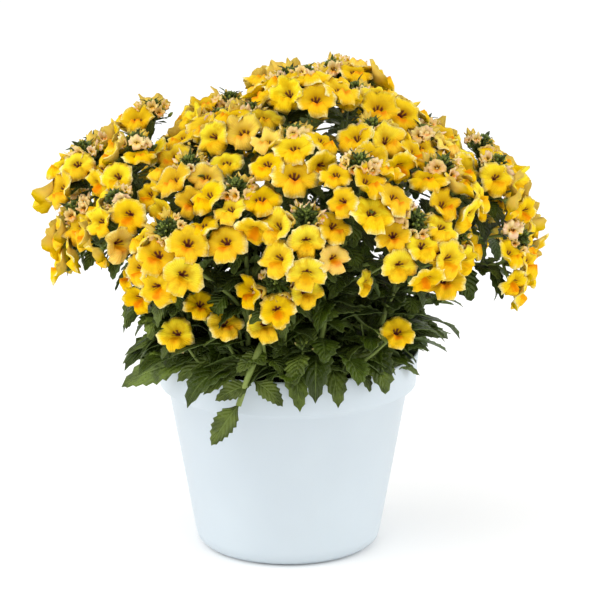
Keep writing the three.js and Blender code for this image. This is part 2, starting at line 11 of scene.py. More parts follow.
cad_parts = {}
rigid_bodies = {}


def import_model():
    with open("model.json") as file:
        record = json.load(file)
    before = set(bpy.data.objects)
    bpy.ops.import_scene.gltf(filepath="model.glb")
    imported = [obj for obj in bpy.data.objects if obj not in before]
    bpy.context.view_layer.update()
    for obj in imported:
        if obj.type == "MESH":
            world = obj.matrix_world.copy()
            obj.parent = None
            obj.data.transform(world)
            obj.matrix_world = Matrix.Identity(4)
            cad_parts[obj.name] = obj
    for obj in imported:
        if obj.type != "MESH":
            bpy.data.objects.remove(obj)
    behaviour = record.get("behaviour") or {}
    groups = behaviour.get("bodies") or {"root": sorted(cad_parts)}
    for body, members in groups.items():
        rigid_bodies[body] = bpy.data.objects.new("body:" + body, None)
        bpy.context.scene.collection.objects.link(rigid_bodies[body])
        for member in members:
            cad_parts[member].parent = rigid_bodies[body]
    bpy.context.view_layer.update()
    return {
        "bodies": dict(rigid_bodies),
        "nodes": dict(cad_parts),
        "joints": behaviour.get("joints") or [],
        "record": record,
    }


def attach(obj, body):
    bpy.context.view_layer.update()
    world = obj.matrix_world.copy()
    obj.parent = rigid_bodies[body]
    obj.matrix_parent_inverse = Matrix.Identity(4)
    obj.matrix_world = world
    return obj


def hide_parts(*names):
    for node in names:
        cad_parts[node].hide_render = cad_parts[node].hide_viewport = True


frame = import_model()
mm = 0.001
right, back, up = np.eye(3)
fullTurn = 2 * pi
goldenAngle = radians(137.508)


# small helpers
def chance(item, draw):  # the same value in 0..1 for the same two numbers, in every run
    wave = sin(item * 127.1 + draw * 311.7) * 43758.5453
    return wave - floor(wave)


def between(item, draw, low, high):
    return low + (high - low) * chance(item, draw)


def sway(item, draw, reach):  # as far to either side
    return between(item, draw, -reach, reach)


def drawn(item, first, spans):  # one draw for each span, numbered on from the first
    return [between(item, draw, *span) for draw, span in enumerate(spans.values(), first)]


def clamp(value, low=0, high=1):
    return min(high, max(low, value))


def unit(vector):
    return vector / np.linalg.norm(vector)


def onSphere(polar, turn):
    flat = sin(polar)
    return np.array([flat * cos(turn), flat * sin(turn), cos(polar)])


def frameOf(x, y, z, origin):
    place = np.eye(4)
    place[:3] = np.column_stack((x, y, z, origin))
    return place


def facing(origin, forward, upward, roll=0.0):  # Z runs forward, Y as near upward as it can
    z = unit(forward)
    x = unit(np.cross(upward, z))
    y = np.cross(z, x)
    c, s = cos(roll), sin(roll)
    return frameOf(c * x + s * y, c * y - s * x, z, origin)


def notAlong(forward, upward, spare, most=0.9):  # the spare one where upward lies too near forward
    return upward if abs(forward @ upward) < most else spare


def inFrame(place, polar, turn):  # a direction given inside a frame
    return unit(place[:3, :3] @ onSphere(polar, turn))


def placed(place, size):  # a frame in millimetres as a Blender matrix that also sizes a template
    scaled = np.array(place)
    scaled[:3, :3] *= size * mm
    scaled[:3, 3] *= mm
    return Matrix(scaled.tolist())


def bezier(points, t):
    a, b, c, d = points
    k = 1 - t
    return k**3 * a + 3 * k * k * t * b + 3 * k * t * t * c + t**3 * d


def alongBezier(points, t, step=1e-4):
    return unit(bezier(points, min(1, t + step)) - bezier(points, max(0, t - step)))


def along(curve, low, high, count):
    return [bezier(curve, t) for t in spread(low, high, count)]


def arc(start, bend, end, steps=4):  # a smooth curve through three control points
    return [(1 - t) ** 2 * start + 2 * t * (1 - t) * bend + t * t * end for t in (i / steps for i in range(steps + 1))]


def spread(low, high, count):
    return [low + (high - low) * i / (count - 1) for i in range(count)]


# where the heads stand
domePlan = {"centre": np.array([4.0, 2.0, 167.0]), "radii": np.array([118.0, 108.0, 69.0])}
headPlan = {
    "spacing": 39, "capRadius": 29,
    "step": 30,  # from the middle bloom to those round it
    "hub": 16, "upturn": 0.35, "passes": 40,
    "jitter": {"turn": (-2.5, 2.5), "polar": (-3, 3), "lift": (-5, 5)},
    "fill": (None, 1, 5, 2, 4, 3),  # the order in which places fill, None for the middle one
    "radius": 9,
    "bloom": {
        "lift": (-1.3, 1.3), "around": (0, fullTurn), "tilt": (0, 0.16), "roll": (-0.3, 0.3), "size": (0.96, 1.06),
    },
}
ringPlan = [
    {"polar": 2, "turn": 60, "blooms": [6]},
    {"polar": 27, "turn": -72, "blooms": [6] * 6},
    {"polar": 49, "turn": -90, "blooms": [6] * 10},
    {"polar": 68, "turn": -78, "blooms": [6] * 12},
    {"polar": 86, "turn": -90, "blooms": [6] * 11},
    {"polar": 116, "turn": -126, "step": 36, "lift": -10, "blooms": [3, 3, 4]},
]
crestPlan = {  # swells: how far to the right each stands, its reach and its rise
    "swells": ((-105, 22, 8), (-70, 20, -6), (-34, 34, -16), (18, 13, 9), (70, 14, 7), (95, 42, -19)),
    "foot": 0.35, "passes": 6,
}


def onDome(normal, lift):
    return domePlan["centre"] + normal * (domePlan["radii"] + lift)


def domeNormal(point):
    return unit((point - domePlan["centre"]) / domePlan["radii"])


def crestRise(point):  # how far the crown stands above or below the dome
    rise = sum(height * exp(-(((point[0] - at) / reach) ** 2)) for at, reach, height in crestPlan["swells"])
    return rise if rise > 0 else rise * clamp(domeNormal(point)[2] / crestPlan["foot"])


def pushApart(heads):
    for i, first in enumerate(heads):
        for second in heads[i + 1 :]:
            step = second.centre - first.centre
            length = sqrt(step @ step)
            if length < headPlan["spacing"]:
                step *= (headPlan["spacing"] - length) / 2 / length
                first.centre = first.centre - step
                second.centre = second.centre + step


def ringHeads(level, ring):
    step = ring.get("step", 360 / len(ring["blooms"]))
    for i, blooms in enumerate(ring["blooms"]):
        key = level * 20 + i
        turn, polar, lift = drawn(key, 1, headPlan["jitter"])
        normal = onSphere(radians(ring["polar"] + polar), radians(ring["turn"] + i * step + turn))
        lift = ring.get("lift", 0) + lift
        yield Thing(key=key, level=level, blooms=blooms, lift=lift, centre=onDome(normal, lift))


def placeHeads():
    heads = [head for level, ring in enumerate(ringPlan) for head in ringHeads(level, ring)]
    for _ in range(headPlan["passes"]):
        pushApart(heads)
        for head in heads:
            head.centre = onDome(domeNormal(head.centre), head.lift)
    for head in heads:
        head.centre = head.centre + up * crestRise(head.centre)
    for _ in range(crestPlan["passes"]):
        pushApart(heads)
    for number, head in enumerate(heads, 1):
        head.number = number
        normal = domeNormal(head.centre)
        head.turn = atan2(normal[1], normal[0])
        head.axis = unit(normal + headPlan["upturn"] * up)
        head.upward = up if head.level else back
        head.frame = facing(head.centre, head.axis, head.upward)
        head.hub = head.centre - headPlan["hub"] * head.axis
    return heads


def placeDirection(head, place, step=headPlan["step"]):  # six places round a head
    return inFrame(head.frame, radians(step), radians(90 + 60 * place))


def onCap(head, direction, lift=0.0):
    middle = head.centre - headPlan["capRadius"] * head.axis
    return middle + (headPlan["capRadius"] + lift) * direction


def placeBlooms(head):
    blooms = []
    for place in (None, 1, 2, 3, 4, 5):
        if headPlan["fill"].index(place) < head.blooms:
            key = head.key * 10 + (place or 0)
            lift, around, tilt, roll, size = drawn(key, 4, headPlan["bloom"])
            direction = head.axis if place is None else placeDirection(head, place)
            turned = {"forward": unit(direction + onSphere(pi / 2, around) * tilt), "roll": roll}
            blooms.append(Thing(key=key, centre=onCap(head, direction, lift), size=headPlan["radius"] * size, **turned))
    return blooms


# where the stems and leaves stand
stemPlan = {
    "groups": [
        {"outer": True, "count": 10, "levels": (3, 4, 5), "first": 3, "hole": 43, "lean": 16, "turn": -76},
        {"outer": False, "count": 5, "levels": (0, 1, 2), "first": 1, "hole": 15, "lean": 2, "turn": -72},
    ],
    "holeShift": (0.86, 1.1), "footHeight": 78, "radius": 1.7, "branchRadius": 1.2,
    "tipRadius": 0.85, "kneeRise": 34, "headRun": 30, "branchStart": 0.42,
    "branchSpacing": 0.13, "branchRun": 12, "branchHeadRun": 18,
}


def intoHead(foot, bend, head, run):
    return [foot, bend, head.hub - run * head.axis, head.hub]


def stemOf(heads, group, middle, key):
    main = next((head for head in heads if head.level == group["first"]), heads[0])
    out = np.array([cos(middle), sin(middle), 0.0])
    foot = out * group["hole"] * between(key, 9, *stemPlan["holeShift"])
    foot[2] = stemPlan["footHeight"]
    curve = intoHead(foot, foot + out * group["lean"] + up * stemPlan["kneeRise"], main, stemPlan["headRun"])
    side = [head for head in heads if head is not main]
    branches = []
    for i, head in enumerate(side):
        at = stemPlan["branchStart"] + stemPlan["branchSpacing"] * i
        start = bezier(curve, at)
        bend = start + alongBezier(curve, at) * stemPlan["branchRun"]
        branches.append(intoHead(start, bend, head, stemPlan["branchHeadRun"]))
    return Thing(key=key, azimuth=middle, outer=group["outer"], curve=curve, heads=[main, *side], branches=branches)


def placeStems(heads):
    stems = []
    for group in stemPlan["groups"]:
        sector = radians(360 / group["count"])
        for i in range(group["count"]):
            middle = radians(group["turn"]) + sector * i
            mine = [head for head in heads if head.level in group["levels"]]
            mine = [head for head in mine if ((head.turn - middle) / sector + 0.5) % group["count"] < 1]
            stems.append(stemOf(mine, group, middle, len(stems)))
    return stems


leafPlan = {
    "length": 36, "width": 7.8, "fold": 0.2, "slots": (0.15, 0.25, 0.36, 0.48),
    "slide": 0.02,
    "shrink": 0.07,  # by each level up the stem
    "attempts": 16, "lowSize": 1.2,
    "low": {"swing": (5, 75), "length": (0.78, 1.12), "width": (0.88, 1.12), "bend": (80, 140), "rise": (25, 62)},
    "high": {"swing": (20, 95), "length": (0.78, 1.12), "width": (0.88, 1.12), "bend": (30, 95), "rise": (10, 58)},
    "tests": [(a, c) for a in (0.3, 0.48, 0.66) for c in (-0.85, 0, 0.85)] + [(0.84, -0.3), (0.84, 0.3), (1, 0)],
    "room": {"stalk": 2.2, "head": 8, "bloom": 9.5, "leaf": 4.0, "others": 1.7},
}
nobody = -1  # owns what belongs to no stem


def leafFrame(base, turn, rise):
    along = np.array([cos(turn) * cos(rise), sin(turn) * cos(rise), sin(rise)])
    across = unit(np.cross(up, along))
    return frameOf(along, across, np.cross(along, across), base)


def leafAlong(base, out):
    return leafFrame(base, atan2(out[1], out[0]), asin(clamp(out[2], -0.95, 0.95)))


def newLeaf(frame, bend, length, width, key=None):
    return Thing(frame=frame, bend=bend, length=length, width=width, key=key)


def leafPoint(leaf, along, across, lower=0.0):  # on a blade that arches down and folds along its rib
    angle = leaf.bend * along
    reach = leaf.length / leaf.bend
    side = across * leaf.width
    rise = reach + abs(side) * leafPlan["fold"] - lower
    point = np.array([rise * sin(angle), side, rise * cos(angle) - reach])
    return leaf.frame[:3, :3] @ point + leaf.frame[:3, 3]


# over the soil within the wall, or else outside the rim or above it
def clearOfPot(point, inside=54.4, overSoil=92.5, outside=67.5, overRim=102.5):
    radius = hypot(point[0], point[1])
    return point[2] > overSoil if radius < inside else radius > outside or point[2] > overRim


def obstaclesOf(stems):  # each has its place, the room it needs and the stem that it belongs to
    points, room = [], leafPlan["room"]
    for stem in stems:
        for curve in [stem.curve] + stem.branches:
            points += [(*point, room["stalk"], stem.key) for point in along(curve, 0, 1, 25)]
        for head in stem.heads:
            points.append((*head.centre, room["head"], nobody))
            points += [(*bloom.centre, room["bloom"], nobody) for bloom in placeBlooms(head)]
    return np.array(points)


def tryLeaf(stem, level, side, obstacles):
    key, low = 1000 + stem.key * 40 + level * 4 + side, stem.outer and level < 2
    base = bezier(stem.curve, leafPlan["slots"][level] + sway(key, 1, leafPlan["slide"]))
    size = (leafPlan["lowSize"] if low else 1) * (1 - leafPlan["shrink"] * level)
    others = leafPlan["room"]["others"] * (obstacles[:, 4] != stem.key)
    for attempt in range(leafPlan["attempts"]):
        swing, length, width, bend, rise = drawn(key, 10 * attempt + 2, leafPlan["low" if low else "high"])
        place = leafFrame(base, stem.azimuth + side * radians(swing), radians(rise))
        length, width = leafPlan["length"] * length * size, leafPlan["width"] * width * size
        leaf = newLeaf(place, radians(bend), length, width, key)
        samples = np.array([leafPoint(leaf, *test) for test in leafPlan["tests"]])
        apart = np.linalg.norm(samples[:, None, :] - obstacles[None, :, :3], axis=2)
        if (apart > obstacles[:, 3] + others).all() and all(map(clearOfPot, samples)):
            taken = np.tile([leafPlan["room"]["leaf"], nobody], (len(samples), 1))
            return leaf, np.vstack([obstacles, np.hstack([samples, taken])])
    return None, obstacles


def placeLeaves(stems):
    obstacles = obstaclesOf(stems)
    for stem in stems:
        stem.leaves = []
    for level in range(len(leafPlan["slots"])):
        for stem in stems:
            for side in (-1, 1):
                leaf, obstacles = tryLeaf(stem, level, side, obstacles)
                if leaf:
                    stem.leaves.append(leaf)


heads = placeHeads()
stems = placeStems(heads)
placeLeaves(stems)
print("plan:", len(heads), "heads,", len(stems), "stems,", sum(len(stem.leaves) for stem in stems), "large leaves")


# materials
class Skin:  # one material, with short ways to add its nodes and to lay colours over each other
    def __init__(self, name, roughness, gloss, tint, **settings):
        self.material = bpy.data.materials.new(name)
        self.material.use_nodes = True
        self.tree = self.material.node_tree
        self.shader = self.tree.nodes["Principled BSDF"]
        self.tint = tint
        for socket, value in {"Roughness": roughness, "Specular IOR Level": gloss, **settings}.items():
            self.shader.inputs[socket].default_value = value

    def put(self, socket, value):
        if isinstance(value, bpy.types.NodeSocket):
            self.tree.links.new(value, socket)
        else:
            socket.default_value = value

    def add(self, kind, inputs, **settings):
        node = self.tree.nodes.new("ShaderNode" + kind)
        for name, value in settings.items():
            setattr(node, name, value)
        for slot, value in inputs.items():
            self.put(node.inputs[slot], value)
        return node

    def math(self, operation, *values):
        return self.add("Math", dict(enumerate(values)), operation=operation).outputs[0]

    def plus(self, first, second):
        return self.math("ADD", first, second)

    def times(self, *values):
        product = values[0]
        for value in values[1:]:
            product = self.math("MULTIPLY", product, value)
        return product

    def length(self, x, y):
        return self.math("SQRT", self.plus(self.times(x, x), self.times(y, y)))

    def ramp(self, value, low, high):  # 0 at low and 1 at high, either way round
        inputs = {"Value": value, "From Min": low, "From Max": high}
        return self.add("MapRange", inputs, interpolation_type="SMOOTHSTEP").outputs[0]

    def blend(self, share, first, second):
        return self.add("Mix", {0: share, 6: first, 7: second}, data_type="RGBA").outputs[2]

    def layer(self, tint, *shares):  # a colour over the last one, by the product of its shares
        self.tint = self.blend(self.times(*shares), self.tint, tint)

    def noise(self, scale, detail=2.0):
        place = self.add("TexCoord", {}).outputs["Object"]
        return self.add("TexNoise", {"Vector": place, "Scale": scale, "Detail": detail}).outputs["Fac"]

    def attribute(self, name):
        return self.add("Attribute", {}, attribute_name=name).outputs["Fac"]

    def map(self):  # the two coordinates of a piece's own map
        parts = self.add("SeparateXYZ", {"Vector": self.add("UVMap", {}, uv_map="map").outputs["UV"]})
        return parts.outputs["X"], parts.outputs["Y"]

    def bump(self, height, strength, distance):
        bump = self.add("Bump", {"Height": height, "Strength": strength, "Distance": distance})
        self.tree.links.new(bump.outputs["Normal"], self.shader.inputs["Normal"])

    def paint(self):
        self.put(self.shader.inputs["Base Color"], self.tint)
        return self.material


def color(red, green, blue):  # from the 0..255 values that a screen shows
    linear = [c / 12.92 if c <= 0.04045 else ((c + 0.055) / 1.055) ** 2.4 for c in (red / 255, green / 255, blue / 255)]
    return (*linear, 1.0)


petalColors = {
    "yellow": color(228, 192, 0), "lemon": color(234, 216, 40),
    # pale is partly the petals' own pale margin and partly painted highlight; edge is a painted highlight
    "pale": color(246, 222, 112), "edge": color(252, 240, 176),
    "gold": color(213, 172, 0), "lip": color(246, 191, 0), "orange": color(236, 134, 0),
    # the olive-gold one is painted shade for the upper lobes near the throat
    "mark": color(82, 34, 38), "throatShade": color(176, 132, 0),
    "cream": color(248, 232, 182), "blush": color(240, 206, 178),
    "cup": color(150, 152, 74),
}
thinPetal = {"Subsurface Weight": 0.12, "Subsurface Radius": (0.002, 0.0014, 0.0004)}


def petalFace():  # numbers are shares of the bloom's radius, or of a tone, a noise or a layer
    skin, colors = Skin("petalFace", 0.7, 0.03, petalColors["gold"], **thinPetal), petalColors
    u, v = skin.map()
    tone, radius = skin.attribute("tone"), skin.length(u, v)
    skin.layer(colors["yellow"], skin.ramp(tone, 0.0, 0.45))
    skin.layer(colors["lemon"], skin.ramp(tone, 0.5, 1.0))
    skin.layer(colors["lip"], skin.ramp(v, 0.0, -0.25), 0.7)
    skin.layer(colors["gold"], skin.ramp(skin.noise(240), 0.52, 0.66), 0.75)
    # painted shade: the upper lobes darken towards the throat
    skin.layer(colors["throatShade"], skin.ramp(radius, 0.7, 0.26), skin.ramp(v, -0.05, 0.12), 0.7)
    # the margins: a paler band, partly the petals' own colour and partly painted highlight, then a painted highlight
    # right at the edge
    rim = skin.plus(radius, skin.times(skin.noise(600), 0.3))
    skin.layer(colors["pale"], skin.ramp(rim, 0.92, 1.18), 0.85)
    skin.layer(colors["edge"], skin.ramp(rim, 1.08, 1.2), 0.85)
    # the raised palate, orange, below the throat
    spot = skin.length(skin.math("DIVIDE", skin.plus(v, 0.25), 0.27), skin.math("DIVIDE", u, 0.38))
    skin.layer(colors["orange"], skin.ramp(spot, 1.2, 0.3), skin.ramp(tone, 1.3, 0.3))
    faded = skin.blend(skin.ramp(skin.noise(330), 0.4, 0.6), colors["cream"], colors["blush"])
    skin.layer(faded, skin.attribute("age"), skin.ramp(radius, 0.15, 0.6))
    # fine veins that run outwards
    angle = skin.math("ARCTAN2", v, u)
    veins = skin.math("SINE", skin.plus(skin.times(angle, 46), skin.times(skin.noise(500), 6)))
    skin.layer(colors["gold"], skin.ramp(veins, 0.2, 1.0), 0.28)
    # dark strokes that fan up from the throat
    angle = skin.math("SUBTRACT", skin.math("ARCTAN2", skin.plus(v, 0.03), u), pi / 2)
    stroke = skin.ramp(skin.math("COSINE", skin.times(angle, 7.3)), -0.75, 0.05)
    ragged = skin.plus(radius, skin.times(skin.noise(900), 0.12))
    mark = skin.math("MAXIMUM", skin.times(stroke, skin.ramp(ragged, 0.4, 0.3), 0.9), skin.ramp(ragged, 0.26, 0.16))
    skin.layer(colors["mark"], mark, skin.ramp(v, -0.06, 0.0))
    skin.bump(skin.plus(skin.times(veins, 0.4), skin.noise(420)), 0.3, 0.0004)
    return skin.paint()


def petalBack():
    skin = Skin("petalBack", 0.7, 0.05, petalColors["cream"], **thinPetal)
    u, v = skin.map()
    skin.layer(petalColors["blush"], skin.ramp(skin.noise(160), 0.35, 0.65))
    skin.layer(petalColors["yellow"], skin.plus(skin.times(skin.ramp(v, 0.1, -0.4), 0.2), 0.8))
    skin.layer(petalColors["cup"], skin.ramp(skin.length(u, v), 0.34, 0.14))
    return skin.paint()


def leafSkin(name, blade, shade, vein, young):
    skin = Skin(name, 0.42, 0.3, color(*blade))
    along, across = skin.map()
    side = skin.math("ABSOLUTE", across)
    skin.layer(color(*shade), skin.attribute("tone"))
    skin.layer(color(*young), skin.attribute("age"))
    skin.layer(color(*shade), skin.ramp(skin.noise(160), 0.35, 0.7), 0.7)
    slant = skin.math("SUBTRACT", skin.times(along, 8.0), skin.times(side, 2.4))  # eight side veins that lean forward
    gap = skin.math("ABSOLUTE", skin.math("SUBTRACT", skin.math("FRACT", slant), 0.5))
    sideVeins = skin.times(skin.ramp(gap, 0.1, 0.02), skin.ramp(side, 1.0, 0.5), 0.55)
    veins = skin.math("MAXIMUM", skin.ramp(side, 0.1, 0.03), sideVeins)
    light = skin.math("MAXIMUM", veins, skin.times(skin.ramp(side, 0.82, 1.0), 0.7))
    skin.layer(color(*vein), light, 0.36)
    skin.bump(skin.plus(skin.math("SUBTRACT", gap, veins), skin.noise(700)), 0.7, 0.0013)
    return skin.paint()


def stalkSkin():
    skin = Skin("stalkSkin", 0.5, 0.3, color(98, 118, 48))
    skin.layer(color(142, 156, 84), skin.noise(130))
    skin.layer(color(66, 84, 34), skin.attribute("tone"))
    skin.bump(skin.noise(1500), 0.1, 0.0002)
    return skin.paint()


def budSkin():
    skin = Skin("budSkin", 0.5, 0.25, color(58, 74, 22))
    skin.layer(color(124, 138, 56), skin.attribute("tone"))
    skin.layer(color(226, 206, 128), skin.ramp(skin.map()[0], 0.35, 0.9), skin.attribute("age"))
    return skin.paint()


skins = {
    "petalFace": petalFace(), "petalBack": petalBack(),
    "leafTop": leafSkin("leafTop", (82, 104, 20), (40, 54, 4), (128, 148, 74), (142, 160, 66)),
    "leafUnder": leafSkin("leafUnder", (96, 114, 52), (74, 92, 38), (120, 136, 76), (128, 146, 68)),
    "stalk": stalkSkin(), "bud": budSkin(),
}
petalSkins, leafSkins = ("petalFace", "petalBack"), ("leafTop", "leafUnder")
greenSkins = ("stalk", *leafSkins, "bud")
print("materials ready")


# templates: small shapes with their own map, copied many times
def newMesh(name, bm):
    mesh = bpy.data.meshes.new(name)
    bm.to_mesh(mesh)
    bm.free()
    return mesh


def extruded(bm, edges):  # the new corners, the new faces and the open edges
    grown = bmesh.ops.extrude_edge_only(bm, edges=edges)["geom"]
    verts, faces, edges = [[item for item in grown if isinstance(item, kind)] for kind in (BMVert, BMFace, BMEdge)]
    return verts, faces, [edge for edge in edges if edge.is_boundary]


def mapFaces(bm, spot):  # smooths the faces and gives each corner its place on the map
    layer = bm.loops.layers.uv.new("map")
    for face in bm.faces:
        face.smooth = True
        for loop in face.loops:
            loop[layer].uv = spot(loop.vert.co)


def closed(name, bm, spot):  # the last steps of a template
    bmesh.ops.recalc_face_normals(bm, faces=bm.faces)
    mapFaces(bm, spot)
    return newMesh(name, bm)


bloomPlan = {
    # lobes on the right: from and to in degrees from the right, reach, and how deep the notch is at either end
    "lobes": ((-135, -45, 1.02, 0.3, 0.3), (-45, 22.5, 1.02, 0.2, 0.07), (22.5, 90, 1.0, 0.08, 0.06)),
    "lobePower": 3.5, "lipNotch": (0.07, 8), "wide": 1.06, "uneven": 0.04,
    "segments": 32, "rings": (0.22, 0.42, 0.75, 1.0),
    "lip": (0.0, 0.38, 0.22, -0.04),  # how far the lip stands forward at each ring
    "fan": (-0.06, 0.08, 0.16, 0.14),  # and the upper and side lobes
    "lipHalf": (38, 10),  # where the lip ends, in degrees from its middle, and how softly
    "upperHalf": (110, 30), "groove": (0.35, 12), "bulge": 0.17, "waves": 0.075,
    "back": ((0.5, 0.12), (0.15, 0.42)),  # share of the radius, depth
    "throat": (0.1, 0.3), "palateRise": 0.1, "scallop": (0.01, 0.065),
    "variants": (  # how wide it opens, how wavy it is, how far its lobes bend back, the last two for young ones
        (1.0, 1.0, 0.2), (1.0, 1.4, 0.05), (0.98, 1.0, 0.32), (1.02, 1.2, 0.0), (0.95, 1.6, -0.12), (1.0, 1.3, 0.42),
        (0.97, 1.8, 0.12), (1.0, 0.8, 0.25), (0.94, 1.5, -0.2), (1.02, 1.1, 0.5), (0.98, 1.7, 0.3), (0.9, 1.3, -0.3),
        (0.84, 2.3, -0.3), (0.68, 2.0, -0.55),
    ),
}


def bloomEdge(angle, number):  # share of the radius at an angle in degrees, and the place in its lobe from -1 to 1
    folded = angle if -90 <= angle <= 90 else 180 - angle
    low, high, reach, first, second = next(lobe for lobe in bloomPlan["lobes"] if folded <= lobe[1])
    at = (2 * folded - low - high) / (high - low)
    depth, width = bloomPlan["lipNotch"]
    share = reach * (1 - (first if at < 0 else second) * abs(at) ** bloomPlan["lobePower"])
    share -= depth * exp(-(((folded + 90) / width) ** 2))
    scallop = between(number * 40 + round(angle), 18, *bloomPlan["scallop"])
    return share * (1 + scallop * (-1) ** round((angle + 90) / 360 * bloomPlan["segments"])), at


def faceHeight(angle, at, ring, number, wavy, bendBack):  # how far a petal's face stands forward
    share = bloomPlan["rings"][ring]
    below = abs((angle + 90 + 180) % 360 - 180)  # from the middle of the lip
    away, upper = [clamp((below - start) / soft) for start, soft in (bloomPlan["lipHalf"], bloomPlan["upperHalf"])]
    lip, (depth, width) = 1 - away, bloomPlan["groove"]
    groove = 1 - depth * exp(-((below / width) ** 2)) * (ring in (1, 2))
    fan = bloomPlan["fan"][ring] - bendBack * (0.5 + 0.5 * upper) * share**2
    bulge = bloomPlan["bulge"] * (0.5 - at * at) * share
    turn = radians(angle)
    wave = sin(turn * 5 + number * 2.1) + 0.9 * sin(turn * 8 + number * 4.3)
    return lip * bloomPlan["lip"][ring] * groove + (1 - lip) * fan + bulge + bloomPlan["waves"] * wavy * wave * share**2


def bloomTemplate(number, opening, wavy, bendBack):  # radius 1, facing +Z, its lip towards -Y
    bm = bmesh.new()
    ring = bmesh.ops.create_circle(bm, cap_ends=True, segments=bloomPlan["segments"], radius=1)["verts"]
    spot = {vert: (degrees(atan2(vert.co.y, vert.co.x)) + 90) % 360 - 90 for vert in ring}

    def settle(verts, share, height):
        for vert in verts:
            edge, at = bloomEdge(spot[vert], number)
            edge = 1 + (edge - 1) * max(0, (share - 0.2) / 0.8)  # the throat stays round
            turn = radians(spot[vert])
            reach = share * edge * opening * (1 + bloomPlan["uneven"] * sin(turn * 3 + number * 1.7) * share)
            vert.co = (reach * cos(turn) * bloomPlan["wide"], reach * sin(turn), height(spot[vert], at))
            if share == bloomPlan["rings"][1] and sin(turn) < -0.6:
                vert.co.y += bloomPlan["palateRise"]

    def grow(edges, share, height, skin):
        verts, faces, edges = extruded(bm, edges)
        near = [[edge.other_vert(vert) for edge in vert.link_edges] for vert in verts]
        spot.update({vert: next(spot[other] for other in others if other in spot) for vert, others in zip(verts, near)})
        settle(verts, share, height)
        for face in faces:
            face.material_index = skin
        return edges

    throat, depth = bloomPlan["throat"]
    settle(ring, throat, lambda angle, at: -depth)
    edges = list(bm.edges)
    for i, share in enumerate(bloomPlan["rings"]):
        edges = grow(edges, share, lambda angle, at: faceHeight(angle, at, i, number, wavy, bendBack), 0)
    for share, depth in bloomPlan["back"]:
        edges = grow(edges, share, lambda angle, at: -depth, 1)
    cap = bmesh.ops.contextual_create(bm, geom=edges)
    cap["faces"][0].material_index = 1
    return closed(f"bloomShape{number}", bm, lambda corner: corner.xy)


leafOutline = (
    (0, 0.08), (0.08, 0.1), (0.15, 0.4), (0.27, 0.88), (0.4, 1), (0.55, 0.94), (0.72, 0.7), (0.88, 0.36), (1, 0),
)
bractOutline = ((0, 0.25), (0.2, 0.8), (0.45, 1), (0.75, 0.6), (1, 0))
bladePlan = {  # rows, columns, outline, how deep its teeth are, thickness
    "leafShape": (16, 4, leafOutline, 0.2, 0.012),
    "fillShape": (11, 2, leafOutline, 0.22, 0.016),
    "bractShape": (3, 2, bractOutline, 0, 0.05),
}


def bladeTemplate(name):  # along X from 0 to 1, across from -1 to 1
    rows, columns, outline, tooth, thickness = bladePlan[name]
    bm = bmesh.new()
    bmesh.ops.create_grid(bm, x_segments=rows, y_segments=columns, size=1)
    along, across = zip(*outline)
    for vert in bm.verts:
        at, side = (vert.co.x + 1) / 2, vert.co.y
        half = float(np.interp(at, along, across))
        row = round(at * rows)
        if tooth and 1 < row < rows:
            half *= 1 - tooth * abs(side) * (row % 2)
            at += (0.3 / rows) * abs(side) * (1 - row % 2)  # teeth point forward
        vert.co = (at, side * half, 0)
    bmesh.ops.remove_doubles(bm, verts=bm.verts, dist=1e-5)
    mapFaces(bm, lambda corner: (corner.x, corner.y / max(0.05, float(np.interp(corner.x, along, across)))))
    bmesh.ops.solidify(bm, geom=list(bm.faces), thickness=thickness)
    bmesh.ops.recalc_face_normals(bm, faces=bm.faces)
    for face in bm.faces:
        face.smooth = True
        face.material_index = 0 if face.normal.z > 0 else 1
    return newMesh(name, bm)


def tubeTemplate(rings, sides):  # radius 1, along +Z with a ring at each whole number
    bm = bmesh.new()
    edges = bmesh.ops.create_circle(bm, segments=sides, radius=1, cap_ends=True)["verts"][0].link_faces[0].edges[:]
    for _ in range(rings - 1):
        verts, _, edges = extruded(bm, edges)
        bmesh.ops.translate(bm, verts=verts, vec=(0, 0, 1))
    bmesh.ops.contextual_create(bm, geom=edges)
    return closed(f"tube{rings}x{sides}", bm, lambda corner: (0, 0))


def budTemplate(width=0.64, taper=0.4):  # a plump pointed bud, 1 long, from the origin along +Z
    bm = bmesh.new()
    bmesh.ops.create_icosphere(bm, subdivisions=1, radius=0.5)
    for vert in bm.verts:
        at = vert.co.z + 0.5
        narrow = width * (1 - taper * at)
        vert.co = (vert.co.x * narrow, vert.co.y * narrow, at)
    return closed("budShape", bm, lambda corner: (corner.z, 0))


bloomShapes = [bloomTemplate(number, *variant) for number, variant in enumerate(bloomPlan["variants"])]
leafShape, fillShape, bractShape = [bladeTemplate(name) for name in bladePlan]
budShape = budTemplate()
tubeShapes = {}
print("templates:", len(bloomShapes), "blooms,", len(bladePlan), "blades and a bud")


# building blocks
def linked(name, data):  # a new object in the scene
    thing = bpy.data.objects.new(name, data)
    bpy.context.scene.collection.objects.link(thing)
    return thing


def addPiece(name, bm, materials, slot, *nodes):
    piece = linked(name, newMesh(name, bm))
    for material in materials:
        piece.data.materials.append(material)
    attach(piece, "root")
    if nodes:
        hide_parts(*nodes)
    return piece


